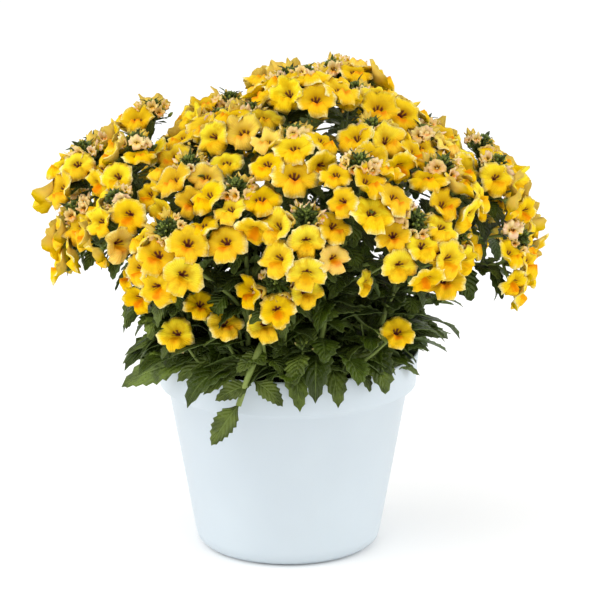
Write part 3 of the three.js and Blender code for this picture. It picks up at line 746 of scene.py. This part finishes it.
class Build:  # one piece in the making: copies of templates and stalks in a single mesh
    def __init__(self, skinNames):
        self.bm = bmesh.new()
        self.bm.loops.layers.uv.new("map")
        self.tone = self.bm.verts.layers.float.new("tone")
        self.age = self.bm.verts.layers.float.new("age")
        self.skins = skinNames

    def copy(self, shape, skinNames, tone=0.0, age=0.0):
        verts, faces = len(self.bm.verts), len(self.bm.faces)
        self.bm.from_mesh(shape)
        self.bm.verts.ensure_lookup_table()
        self.bm.faces.ensure_lookup_table()
        for face in self.bm.faces[faces:]:
            face.material_index = self.skins.index(skinNames[face.material_index])
        fresh = self.bm.verts[verts:]
        for vert in fresh:
            vert[self.tone] = tone
            vert[self.age] = age
        return fresh

    def stamp(self, shape, skinNames, place, size, tone, age):
        fresh = self.copy(shape, skinNames, tone, age)
        bmesh.ops.transform(self.bm, matrix=placed(place, size), verts=fresh)

    def stalk(self, points, radii, sides, tone=0.0):  # one radius for each point, or for the two ends
        sort = (len(points), sides)
        if sort not in tubeShapes:
            tubeShapes[sort] = tubeTemplate(*sort)
        if len(radii) < len(points):
            radii = spread(*radii, len(points))
        matrices, upward = [], notAlong(unit(points[1] - points[0]), up, right, 0.7)
        for i, radius in enumerate(radii):
            place = facing(points[i], points[min(i + 1, len(points) - 1)] - points[max(0, i - 1)], upward)
            upward = place[:3, 1]
            matrices.append(placed(place, radius))
        for vert in self.copy(tubeShapes[sort], ("stalk",), tone):
            vert.co = matrices[round(vert.co.z)] @ Vector((vert.co.x, vert.co.y, 0))

    def finish(self, name, slot, *nodes):
        addPiece(name, self.bm, [skins[skin] for skin in self.skins], slot, *nodes)


# leaves
ripplePlan = {"wave": (0.02, 0.07), "phase": (0, 6.3), "twist": (-0.1, 0.1), "tone": (0, 1)}
pairPlan = {  # leaves in pairs, each pair turned from the last
    "pitch": 8, "long": 24, "short": 15, "width": 0.31, "margin": 0.06,
    "spans": {
        "turn": (-0.5, 0.5), "forward": (0.3, 0.8), "length": (0.8, 1.15), "bend": (25, 85), "width": (0.85, 1.15),
    },
    "roll": 0.5, "youth": (0.5, 1.5),
}


def setLeaf(build, shape, leaf, key, youth=0.0):  # bends a flat blade to its place
    wave, phase, twist, tone = drawn(key, 41, ripplePlan)
    for vert in build.copy(shape, leafSkins, tone, youth):
        at, across, depth = vert.co
        ripple = wave * sin(9 * at + phase + 2 * across) * abs(across) + twist * at * across
        vert.co = Vector(leafPoint(leaf, at, across, -(depth + ripple) * leaf.length * 0.6)) * mm


def rolled(place, turn):  # a leaf's frame turned round its own length
    across, over = place[:3, 1].copy(), place[:3, 2].copy()
    place[:3, 1] = across * cos(turn) + over * sin(turn)
    place[:3, 2] = over * cos(turn) - across * sin(turn)
    return place


def leafBetween(base, tip, bend, width, face):  # a leaf that arches from one point to another, its top to the face
    base, chord = np.array(base, float), np.array(tip, float) - np.array(base, float)
    reach, half = np.linalg.norm(chord), radians(bend) / 2
    across = unit(np.cross(face, chord))
    over = np.cross(chord / reach, across)
    along = chord / reach * cos(half) + over * sin(half)
    return newLeaf(frameOf(along, across, np.cross(along, across), base), 2 * half, reach * half / sin(half), width)


def belowCrown(point, margin):  # inside the crown of blooms by a share of its size
    lowered = point - up * crestRise(point)
    return np.linalg.norm((lowered - domePlan["centre"]) / domePlan["radii"]) < 1 - margin


def leafPairs(points, key, greens, size=1.0, youth=0.15):
    plan = pairPlan
    run = np.concatenate([[0], np.cumsum([np.linalg.norm(b - a) for a, b in zip(points, points[1:])])])
    count = max(2, int(run[-1] / plan["pitch"]))
    for i in range(count):
        at = (i + 0.6) * run[-1] / count
        low = min(len(points) - 2, int(np.searchsorted(run, at, side="right")) - 1)
        ahead = unit(points[low + 1] - points[low])
        base = points[low] + ahead * (at - run[low])
        across = unit(np.cross(ahead, np.array([0.3, 0.2, 1.0])))
        share = clamp((base[2] - 100) / 110)  # leaves are shorter further up
        usual = plan["long"] + (plan["short"] - plan["long"]) * share
        for side in (0, 1):
            item = key * 60 + i * 2 + side
            turn, forward, length, bend, width = drawn(item, 51, plan["spans"])
            turn = i * pi / 2 + side * pi + turn
            out = across * cos(turn) + np.cross(ahead, across) * sin(turn)
            out = unit(out + ahead * forward)
            length = usual * length * size
            if base[2] > 135 and not belowCrown(base + out * length, plan["margin"]):
                length *= 0.6
            place = rolled(leafAlong(base, out), sway(item, 57, plan["roll"]))
            leaf = newLeaf(place, radians(bend), length, length * plan["width"] * width)
            if all(clearOfPot(leafPoint(leaf, *test)) for test in ((0.5, -1), (0.5, 1), (1, 0))):
                setLeaf(greens, fillShape, leaf, item, youth * (0.2 + i / count) * between(item, 58, *plan["youth"]))


# the young tip of a head: a cluster of buds with bracts, and small pale blooms that open round it
tuftPlan = {
    "buds": 30, "bracts": 24, "length": 14, "size": (3.8, 2.0), "reach": 6.2,
    "lift": 2.4, "step": 26, "clearance": 15, "opening": 0.35,
    "bract": {"bend": (0.3, 1.0), "length": (5, 9), "width": (0.8, 1.3)},
    "young": 8,
    "youngPlace": {"turn": (-0.3, 0.3), "drop": (0.5, 5), "reach": (5.4, 8)},
    "youngBloom": {"size": (3.0, 5.2), "roll": (-0.5, 0.5)},
}


def budCluster(greens, tip, axis, key, size, buds, bracts, blooms=()):
    plan, small = tuftPlan, 0.4 + 0.6 * size
    place = facing(tip, axis, notAlong(axis, up, back))
    for i in range(buds):
        share, item = i / (buds - 1), key * 50 + i
        out = inFrame(place, radians(86 - 74 * share + sway(item, 31, 8)), i * goldenAngle + sway(item, 32, 0.3))
        base = tip - axis * plan["length"] * 0.6 * (1 - share) ** 1.1 * size
        foot = base + out * (plan["reach"] * (1 - share) ** 0.8 + 0.3) * size
        if any(np.linalg.norm(foot + out - bloom.centre) < bloom.size * 0.8 for bloom in blooms):
            continue
        if share < 0.75:
            greens.stalk([base, foot + out * 0.4], (0.38, 0.34), 3, 0.5)
        opening = share < plan["opening"] and chance(item, 34) < plan["opening"]
        bud = (plan["size"][0] + (plan["size"][1] - plan["size"][0]) * share) * small
        stand = facing(foot, unit(out + axis * 0.6), axis)
        greens.stamp(budShape, ("bud",), stand, bud, chance(item, 33), float(opening))
    for i in range(bracts):
        share, item = i / bracts, key * 50 + 35 + i
        bend, length, width = drawn(item, 35, plan["bract"])
        out = inFrame(place, radians(84 - 60 * share), i * goldenAngle + 1)
        across = unit(np.cross(axis, out))
        base = tip - axis * (plan["length"] * 0.7 * (1 - share) + 0.5) * size
        bract = frameOf(out, across, np.cross(out, across), base)
        setLeaf(greens, bractShape, newLeaf(bract, bend, length * small, width), item)


# leafy shoots without blooms that fill the lower plant
shootPlan = {
    "each": 3,
    "spans": {"start": (0.1, 0.42), "swing": (-150, 150), "rise": (25, 70), "length": (26, 46)},
    "radii": (1.1, 0.5), "lowest": 100, "budded": 0.5,
}


def addShoots(stem, greens):
    for i in range(shootPlan["each"]):
        key = 300 + stem.key * 5 + i
        start, swing, rise, length = drawn(key, 81, shootPlan["spans"])
        base = bezier(stem.curve, start)
        out = onSphere(radians(90 - rise), stem.azimuth + radians(swing))
        tip = base + out * length + up * length * 0.2
        if hypot(tip[0], tip[1]) > 62 + 0.3 * (tip[2] - 95):  # too far out over the rim
            tip[:2] *= 0.8
        if tip[2] < shootPlan["lowest"]:
            continue
        points = arc(base, base + out * length * 0.5, tip, 6)
        greens.stalk(points, shootPlan["radii"], 5, 0.3)
        leafPairs(points, key, greens, 0.95, 0.6)
        if chance(key, 85) < shootPlan["budded"]:
            ahead = unit(tip - points[-2])
            budCluster(greens, tip + ahead * 2, ahead, key, 0.55, 9, 4)


# leaves that hang over the rim of the pot
rimPlan = {
    "count": 124, "tries": 40, "swing": 1.6,
    "spans": {
        "turn": (-0.4, 0.4), "foot": (40, 57), "height": (92, 110), "swing": (-1, 1), "rise": (0, 45),
        "bend": (20, 110), "length": (15, 34), "width": (0.22, 0.32), "roll": (-0.7, 0.7),
    },
    "tests": leafPlan["tests"] + [(0.15, 0), (0.4, -1), (0.4, 1)],
}


def atRim(tip):  # outside the rim, further out when higher, or just inside it
    reach = hypot(tip[0], tip[1])
    over = 66 < reach < 66 + 1.3 * (tip[2] - 88) and tip[2] < 108
    return over or 54 < reach < 66 and 102 < tip[2] < 112


def rimLeaf(i):
    for attempt in range(rimPlan["tries"]):
        key = 7000 + i * 40 + attempt
        turn, foot, height, swing, rise, bend, length, width, roll = drawn(key, 91, rimPlan["spans"])
        turn = (i + turn) / rimPlan["count"] * fullTurn
        base = np.array([foot * cos(turn), foot * sin(turn), height])
        place = rolled(leafFrame(base, turn + rimPlan["swing"] * swing, radians(rise)), roll)
        leaf = newLeaf(place, radians(bend), length, length * width, key)
        if atRim(leafPoint(leaf, 1, 0)) and all(clearOfPot(leafPoint(leaf, *test)) for test in rimPlan["tests"]):
            return leaf
    return None


# blooms
bloomHabit = {
    "radius": 1.04,
    "spans": {"size": (0.82, 1.1), "polar": (0, pi), "around": (0, fullTurn)},
    "tilt": 1.0,
    "steady": 0.7,  # how much less it tilts where it faces up
    "roll": 0.3, "tube": 0.42,
    "cup": ((0.4, 1.35), (-0.7, 1.25), (-1.6, 0.6)),  # where along the bloom's axis, and the radius there
    "stalk": (0.5, 0.5), "bow": 2.5,
    "shapes": {True: (12, 13.99), False: (0, 11.99)},  # for a young bloom, and for others
    "faded": 0.03,
    "ages": {"young": (0.5, 1.0), "faded": (0.1, 0.3), "open": (0, 0.04)},
}


def addBloom(petals, greens, bloom, upward, start, ahead, young=False):
    key, habit = bloom.key, bloomHabit
    size, polar, around = drawn(key, 20, habit["spans"])
    lean = habit["tilt"] * (1 - habit["steady"] * max(0, bloom.forward[2]) ** 2)
    forward = unit(bloom.forward + onSphere(polar, around) * between(key, 23, 0, lean))
    roll = bloom.roll + sway(key, 24, habit["roll"])
    place = facing(bloom.centre, forward, notAlong(forward, upward, back, 0.96), roll)
    size *= bloom.size * habit["radius"]
    shape = bloomShapes[int(between(key, 25, *habit["shapes"][young]))]
    kind = "young" if young else "faded" if chance(key, 26) < habit["faded"] else "open"
    petals.stamp(shape, petalSkins, place, size, chance(key, 28), between(key, 27, *habit["ages"][kind]))
    base = bloom.centre - forward * size * habit["tube"]  # where its green cup and stalk meet it
    reach, radii = zip(*habit["cup"])
    greens.stalk([base + forward * at for at in reach], radii, 6, 0.6)
    bend = (start + base) / 2 - forward * habit["bow"] + ahead * 0.5
    greens.stalk(arc(start, bend, base - forward * 1.2), habit["stalk"], 4, 0.3)


def tuftTip(head, lift=0.0):
    return onCap(head, placeDirection(head, 0, tuftPlan["step"]), lift)


def addTuft(head, petals, greens, tip, key, size, blooms):
    root, plan = head.hub + head.axis * 6, tuftPlan
    axis = unit(unit(tip - root) + domeNormal(tip))
    greens.stalk(arc(head.hub, root, tip), (0.95, 0.5), 5, 0.4)
    budCluster(greens, tip, axis, key, size, plan["buds"], plan["bracts"], blooms)
    place = facing(tip, axis, notAlong(axis, head.upward, right))
    for i in range(plan["young"]):
        item = key * 10 + 7 + i * 0.31
        turn, drop, reach = drawn(item, 38, plan["youngPlace"])
        out = inFrame(place, pi / 2, (i + turn) * fullTurn / plan["young"] + key)
        centre = tip + (out * reach - axis * drop) * size
        across, roll = drawn(item, 45, plan["youngBloom"])
        bloom = Thing(key=item, centre=centre, forward=unit(out + axis * 0.9), size=across, roll=roll)
        addBloom(petals, greens, bloom, head.upward, root, head.axis, True)


whorlPlan = {
    "count": 9,
    "spans": {"rise": (5, 50), "shift": (-6, 5), "length": (13, 20), "roll": (-0.6, 0.6)},
    "width": 0.24, "bend": (0.3, 1.2),
}


def addWhorl(head, greens):  # leaves under the blooms
    for i in range(whorlPlan["count"]):
        key = 8000 + head.key * 20 + i
        rise, shift, length, roll = drawn(key, 47, whorlPlan["spans"])
        out = inFrame(head.frame, radians(90 - rise), i * goldenAngle)
        place = rolled(leafAlong(head.hub + head.axis * shift, out), roll)
        leaf = newLeaf(place, between(key, 56, *whorlPlan["bend"]), length, length * whorlPlan["width"])
        setLeaf(greens, fillShape, leaf, key, between(key, 59, 0, 0.5))


# blooms and a few tufts between the heads close the crown
gapPlan = {
    "tries": 600, "clearance": (13, 21), "top": 5, "bottom": 102,
    "spans": {"lift": (-10.0, -3.0), "size": (7.2, 9.2), "roll": (-0.5, 0.5)},
    "upturn": 0.3, "tufts": 0.2, "tuftSize": (0.65, 0.9), "rise": 5,
}


def nearest(point, others):
    return min(np.linalg.norm(point - other) for other in others)


def gapBlooms():
    taken, tufts = [bloom.centre for head in heads for bloom in placeBlooms(head)], [tuftTip(head) for head in heads]
    high, low = [cos(radians(gapPlan[end])) for end in ("top", "bottom")]
    found = []
    for i in range(gapPlan["tries"]):
        key = 5000 + i
        lift, size, roll = drawn(key, 61, gapPlan["spans"])
        normal = onSphere(acos(high + (low - high) * (i + 0.5) / gapPlan["tries"]), i * goldenAngle)
        centre = onDome(normal, lift)
        centre = centre + up * crestRise(centre)
        room = between(key, 65, *gapPlan["clearance"])
        if nearest(centre, taken) >= room and nearest(centre, tufts) >= tuftPlan["clearance"]:
            taken.append(centre)
            bloom = Thing(key=key, centre=centre, size=size, roll=roll, tuft=chance(key, 66) < gapPlan["tufts"])
            bloom.head = min(heads, key=lambda head: np.linalg.norm(head.centre - centre))
            bloom.forward = unit(domeNormal(centre) + gapPlan["upturn"] * up)
            found.append(bloom)
    return found


extraBlooms = gapBlooms()


def addHead(head, greens):
    petals = Build(petalSkins)
    extra = [bloom for bloom in extraBlooms if bloom.head is head]
    blooms = placeBlooms(head) + [bloom for bloom in extra if not bloom.tuft]
    for bloom in blooms:
        start = head.hub + head.axis * between(bloom.key, 29, 0, 5)
        addBloom(petals, greens, bloom, head.upward, start, head.axis)
    addTuft(head, petals, greens, tuftTip(head, tuftPlan["lift"]), head.key, 1.0, blooms)
    for tuft in [bloom for bloom in extra if bloom.tuft]:
        tip, size = tuft.centre + tuft.forward * gapPlan["rise"], between(tuft.key, 67, *gapPlan["tuftSize"])
        addTuft(head, petals, greens, tip, tuft.key, size, blooms)
    addWhorl(head, greens)
    petals.finish(f"blooms_{head.number:02d}", "petals", f"flower_head_{head.number:02d}")
    return len(blooms)


def addStem(stem):
    greens, tip = Build(greenSkins), stemPlan["tipRadius"]
    greens.stalk(along(stem.curve, 0, 1, 15), (stemPlan["radius"], tip), 7)
    leafPairs(along(stem.curve, 0.1, 0.92, 24), 100 + stem.key, greens)
    for i, branch in enumerate(stem.branches):
        greens.stalk(along(branch, 0, 1, 11), (stemPlan["branchRadius"], tip), 6)
        leafPairs(along(branch, 0.12, 0.9, 16), 200 + stem.key * 4 + i, greens)
    for leaf in stem.leaves:
        setLeaf(greens, leafShape, leaf, leaf.key)
    addShoots(stem, greens)
    count = sum(addHead(head, greens) for head in stem.heads)
    greens.finish(f"greens_{stem.key + 1:02d}", "foliage", f"leafy_stem_{stem.key + 1:02d}")
    return count


print("plant:", sum(addStem(stem) for stem in stems), "blooms")


# low blooms on stalks of their own, and leaves that hang at the front and the sides
lowPlan = {
    "blooms": (  # where it stands, the way it faces, its radius, and where its stalk starts and bends
        ((-10, -77, 131), (0.2, -0.9, 0.5), 8.4, (-6, -44, 92), (-12, -66, 112)),
        ((52, -57, 122), (0.15, -0.95, 0.3), 8.8, (10, -42, 88), (34, -60, 104)),
        ((-52.5, -57, 121), (-0.3, -0.9, 0.25), 8.0, (-24, -36, 88), (-42, -50, 100)),
        ((-41, -63, 137), (0.1, -0.8, 0.6), 8.2, (-20, -40, 100), (-36, -58, 122)),
        ((-29, -68, 129), (0.35, -0.9, 0.4), 8.6, (-14, -42, 94), (-28, -60, 112)),
        ((-2, -77, 145), (-0.2, -0.9, 0.45), 6.8, (-2, -46, 104), (0, -68, 128)),
    ),
    "shoot": ((-9, -44, 112), (-10, -70, 131), (-23, -71.5, 90.5)),
    "leaves": (  # base, tip, bend in degrees, half its width, where its top looks
        ((-22.5, -71.5, 91.5), (-36, -74, 71.5), 40, 6.4, (-0.3, -1, 0.3)),
        ((-16, -69, 102), (-2, -75, 91), 60, 5.4, (0.2, -1, 0.8)),
        ((-17, -69, 100), (-34, -72, 93), 60, 5.4, (0, -0.8, 0.7)),
        ((-12, -64, 114), (-24, -70, 106), 60, 4.6, (0, -0.8, 0.8)),
        ((-40, -45, 105), (-81, -31, 88), 50, 8.6, (0, -0.8, 1)),
        ((-50, -12, 104), (-82, -6, 93), 60, 7, (0, -0.5, 1)),
        ((-30, -46, 108), (-53, -50, 96), 60, 6.4, (-0.2, -0.8, 1)),
        ((-18, -50, 108), (-40, -62, 93), 60, 6.2, (0.1, -0.8, 0.8)),
        ((0, -60, 106), (54, -42, 102), 40, 7.6, (0.1, -0.8, 0.8)),
        ((-4, -56, 107), (-38, -56, 101), 40, 6.6, (0, -0.8, 0.8)),
        ((-47, -10, 110), (-80, -20, 101), 50, 6.6, (0, -0.4, 1)),
        ((-70, -2, 136), (-80, -4, 110), 50, 6, (-0.4, -1, 0.2)),
        ((2, -47, 106), (6, -71, 87), 100, 7.4, (0, -0.6, 1)),
        ((17, -47, 107), (24, -71, 89), 100, 7, (0.2, -0.6, 1)),
        ((50, -8, 110), (79.5, 0, 104), 40, 5.6, (0, -0.5, 1)),
        ((47, -22, 106), (70, -12, 101), 60, 6.2, (0, -0.5, 1)),
        ((44, -34, 102), (64.5, -26, 92.5), 50, 5, (0.2, -0.6, 1)),
    ),
}


def addLowPlant():
    petals, greens = Build(petalSkins), Build(greenSkins)
    for i, (centre, forward, size, start, bend) in enumerate(lowPlan["blooms"]):
        centre, forward, start, bend = [np.array(point, float) for point in (centre, forward, start, bend)]
        bloom = Thing(key=9000 + i, centre=centre, forward=unit(forward), roll=sway(i, 64, 0.4), size=size)
        route = arc(start, bend, centre - unit(forward) * 6, 7)
        greens.stalk(route, (1.1, 0.6), 6, 0.1)
        leafPairs(route[:5], 400 + i, greens, 0.7)
        addBloom(petals, greens, bloom, up, route[-2], unit(route[-1] - route[-2]))
    shoot = [np.array(point, float) for point in lowPlan["shoot"]]
    greens.stalk(arc(*shoot, 9), (2.0, 1.4), 7)
    for i, hanging in enumerate(lowPlan["leaves"]):
        setLeaf(greens, leafShape, leafBetween(*hanging), 9100 + i, 0.3)
    for leaf in filter(None, map(rimLeaf, range(rimPlan["count"]))):
        setLeaf(greens, leafShape, leaf, leaf.key)
        base = leaf.frame[:3, 3]
        foot = base * np.array([0.78, 0.78, 0]) + up * (base[2] - 9)
        greens.stalk(arc(foot, base - up * 5, base + leaf.frame[:3, 0]), (0.9, 0.6), 5, 0.3)
    petals.finish("blooms_low", "petals")
    greens.finish("greens_low", "foliage")


addLowPlant()
print("low blooms and leaves ready")


# pot
potPlan = {
    "segments": 96,
    "outer": (  # radius and height, from the middle of the foot up to the rim
        (0, 0), (38.4, 0), (42.5, 1.0), (45.4, 3.6), (46.6, 8), (59.4, 79.6),
        (63.4, 82.4), (63.8, 83), (64.9, 98.4), (65, 99.4), (64.4, 100),
    ),
    "inner": ((63.8, 99.6), (63.3, 98.2), (62.2, 83.4), (57.9, 79.4), (44.9, 8.6), (43.6, 4.2), (40, 1.9), (0, 1.6)),
    "drains": {"count": 6, "radius": 4, "circle": 29, "depth": 8, "segments": 24},
}


def potSkin():
    depth = {"Subsurface Weight": 0.08, "Subsurface Radius": (0.004, 0.005, 0.006)}
    skin = Skin("potPlastic", 0.42, 0.35, color(195, 205, 212), **depth)
    skin.layer(color(200, 210, 216), skin.ramp(skin.noise(14, 3), 0.3, 0.7))
    skin.bump(skin.noise(900, 3), 0.06, 0.0002)
    return skin.paint()


def turned(profile, steps):  # spins a profile in millimetres round the middle axis
    bm = bmesh.new()
    verts = [bm.verts.new((radius * mm, 0, z * mm)) for radius, z in profile]
    edges = [bm.edges.new(pair) for pair in zip(verts, verts[1:])]
    spin = {"axis": (0, 0, 1), "cent": (0, 0, 0), "angle": fullTurn, "steps": steps, "use_merge": True}
    bmesh.ops.spin(bm, geom=verts + edges, **spin)
    bmesh.ops.remove_doubles(bm, verts=bm.verts, dist=1e-6)
    bmesh.ops.recalc_face_normals(bm, faces=bm.faces)
    return bm


def cutDrains(pot):
    bm, drains = bmesh.new(), potPlan["drains"]
    radius = drains["radius"] * mm
    for i in range(drains["count"]):
        turn = (i + 0.5) / drains["count"] * fullTurn
        at = Matrix.Translation(Vector((drains["circle"] * cos(turn), drains["circle"] * sin(turn), 0)) * mm)
        size = {"segments": drains["segments"], "radius1": radius, "radius2": radius, "depth": drains["depth"] * mm}
        bmesh.ops.create_cone(bm, cap_ends=True, matrix=at, **size)
    cutter = linked("drainCutter", newMesh("drainCutter", bm))
    cut = pot.modifiers.new("drains", "BOOLEAN")
    cut.object, cut.operation, cut.solver = cutter, "DIFFERENCE", "EXACT"
    bpy.context.view_layer.objects.active = pot
    bpy.ops.object.modifier_apply(modifier=cut.name)
    bpy.data.objects.remove(cutter)


def makePot():
    bm = turned(potPlan["outer"] + potPlan["inner"], potPlan["segments"])
    for face in bm.faces:
        face.smooth = True
    cutDrains(addPiece("nurseryPot", bm, [potSkin()], "pot", "pot"))


makePot()
print("pot ready")


# soil
soilPlan = {
    "under": ((0, 2.2), (39.6, 2.3), (43.2, 4.6), (44.4, 8.8), (57.3, 79.9), (61.6, 83.9), (62.0, 87)),
    "top": 87, "mound": 3, "rings": 14, "segments": 72, "relief": 1.5, "crumbs": 420,
    "crumb": {"size": (0.5, 1.7), "spin": (0, 6), "x": (0, 1), "y": (0, 1), "long": (0.7, 1.5), "flat": (0.6, 1)},
}


def soilSkin():
    skin = Skin("pottingSoil", 0.95, 0.15, color(34, 25, 19))
    skin.layer(color(78, 58, 42), skin.ramp(skin.noise(420, 6), 0.35, 0.7))
    skin.bump(skin.noise(700, 6), 0.9, 0.002)
    return skin.paint()


def soilHeight(x, y, rim):
    mound = soilPlan["mound"] * cos(min(1, hypot(x, y) / rim) * pi / 2)
    return soilPlan["top"] + mound + soilPlan["relief"] * noise.fractal(Vector((x, y, 3.7)) * 0.11, 0.8, 2.0, 4)


def addCrumb(bm, i, rim):
    radius = rim * 0.97 * sqrt(chance(i, 71))
    x, y = radius * cos(i * goldenAngle), radius * sin(i * goldenAngle)
    size, spin, alongX, alongY, long, flat = drawn(i, 72, soilPlan["crumb"])
    at = Matrix.Translation(Vector((x, y, soilHeight(x, y, rim))) * mm) @ Matrix.Rotation(spin, 4, (alongX, alongY, 1))
    squash = Matrix.Diagonal((size * mm * long, size * mm, size * mm * flat, 1))
    bmesh.ops.create_icosphere(bm, subdivisions=1, radius=1, matrix=at @ squash)


def makeSoil():
    rim, top, count = soilPlan["under"][-1][0], soilPlan["top"], soilPlan["rings"]
    rings = [(rim * (1 - (i / count) ** 1.1), top) for i in range(1, count + 1)]
    bm = turned(list(soilPlan["under"]) + rings, soilPlan["segments"])
    for vert in bm.verts:
        x, y, z = vert.co / mm
        if z > top - 0.1 and hypot(x, y) < rim - 0.5:
            vert.co.z = soilHeight(x, y, rim) * mm
    for i in range(soilPlan["crumbs"]):
        addCrumb(bm, i, rim)
    addPiece("pottingSoil", bm, [soilSkin()], "soil", "soil")


makeSoil()
print("soil ready")


# floor, light and camera
studioPlan = {
    "floor": 9,  # metres, as all lengths here
    "floorTint": (0.97, 0.97, 0.97, 1), "sky": 1.04,
    "lights": {  # place, size, power
        "key": ((-0.9, -1.2, 1.7), 1.6, 9),
        "leftSide": ((-1.7, -0.3, 0.7), 1.5, 12),
        "rightSide": ((1.7, -0.2, 0.7), 1.5, 11),
    },
    "lit": (0, 0, 0.12),  # where the lights point
    "view": 13.03,  # the camera's angle of view
    "distance": 1.3, "elevation": 14, "target": (0.006, 0, 0.124),
}


def makeFloor():
    bm = bmesh.new()
    bmesh.ops.create_circle(bm, cap_ends=True, segments=64, radius=studioPlan["floor"])
    floor = linked("floor", newMesh("floor", bm))
    floor.data.materials.append(Skin("paleFloor", 0.95, 0.1, studioPlan["floorTint"]).paint())


def makeLight(name, place, size, power):
    light = bpy.data.lights.new(name, "AREA")
    light.size, light.energy = size, power
    lamp = linked(name, light)
    lamp.location = place
    lamp.rotation_euler = (Vector(studioPlan["lit"]) - Vector(place)).to_track_quat("-Z", "Y").to_euler()


def makeCamera():
    camera = linked("camera", bpy.data.cameras.new("camera"))
    camera.data.angle = radians(studioPlan["view"])
    tilt = radians(studioPlan["elevation"])
    away = Vector((0, -cos(tilt), sin(tilt))) * studioPlan["distance"]
    camera.location = Vector(studioPlan["target"]) + away
    camera.rotation_euler = (-away).to_track_quat("-Z", "Y").to_euler()
    bpy.context.scene.camera = camera


def makeSky():
    world = bpy.data.worlds.new("studio")
    world.use_nodes = True
    background = world.node_tree.nodes["Background"]
    background.inputs["Color"].default_value = (1, 1, 1, 1)
    background.inputs["Strength"].default_value = studioPlan["sky"]
    bpy.context.scene.world = world
    bpy.context.scene.view_settings.view_transform = "Standard"


makeFloor()
for name, light in studioPlan["lights"].items():
    makeLight(name, *light)
makeCamera()
makeSky()
print("studio ready:", len(studioPlan["lights"]), "lights")
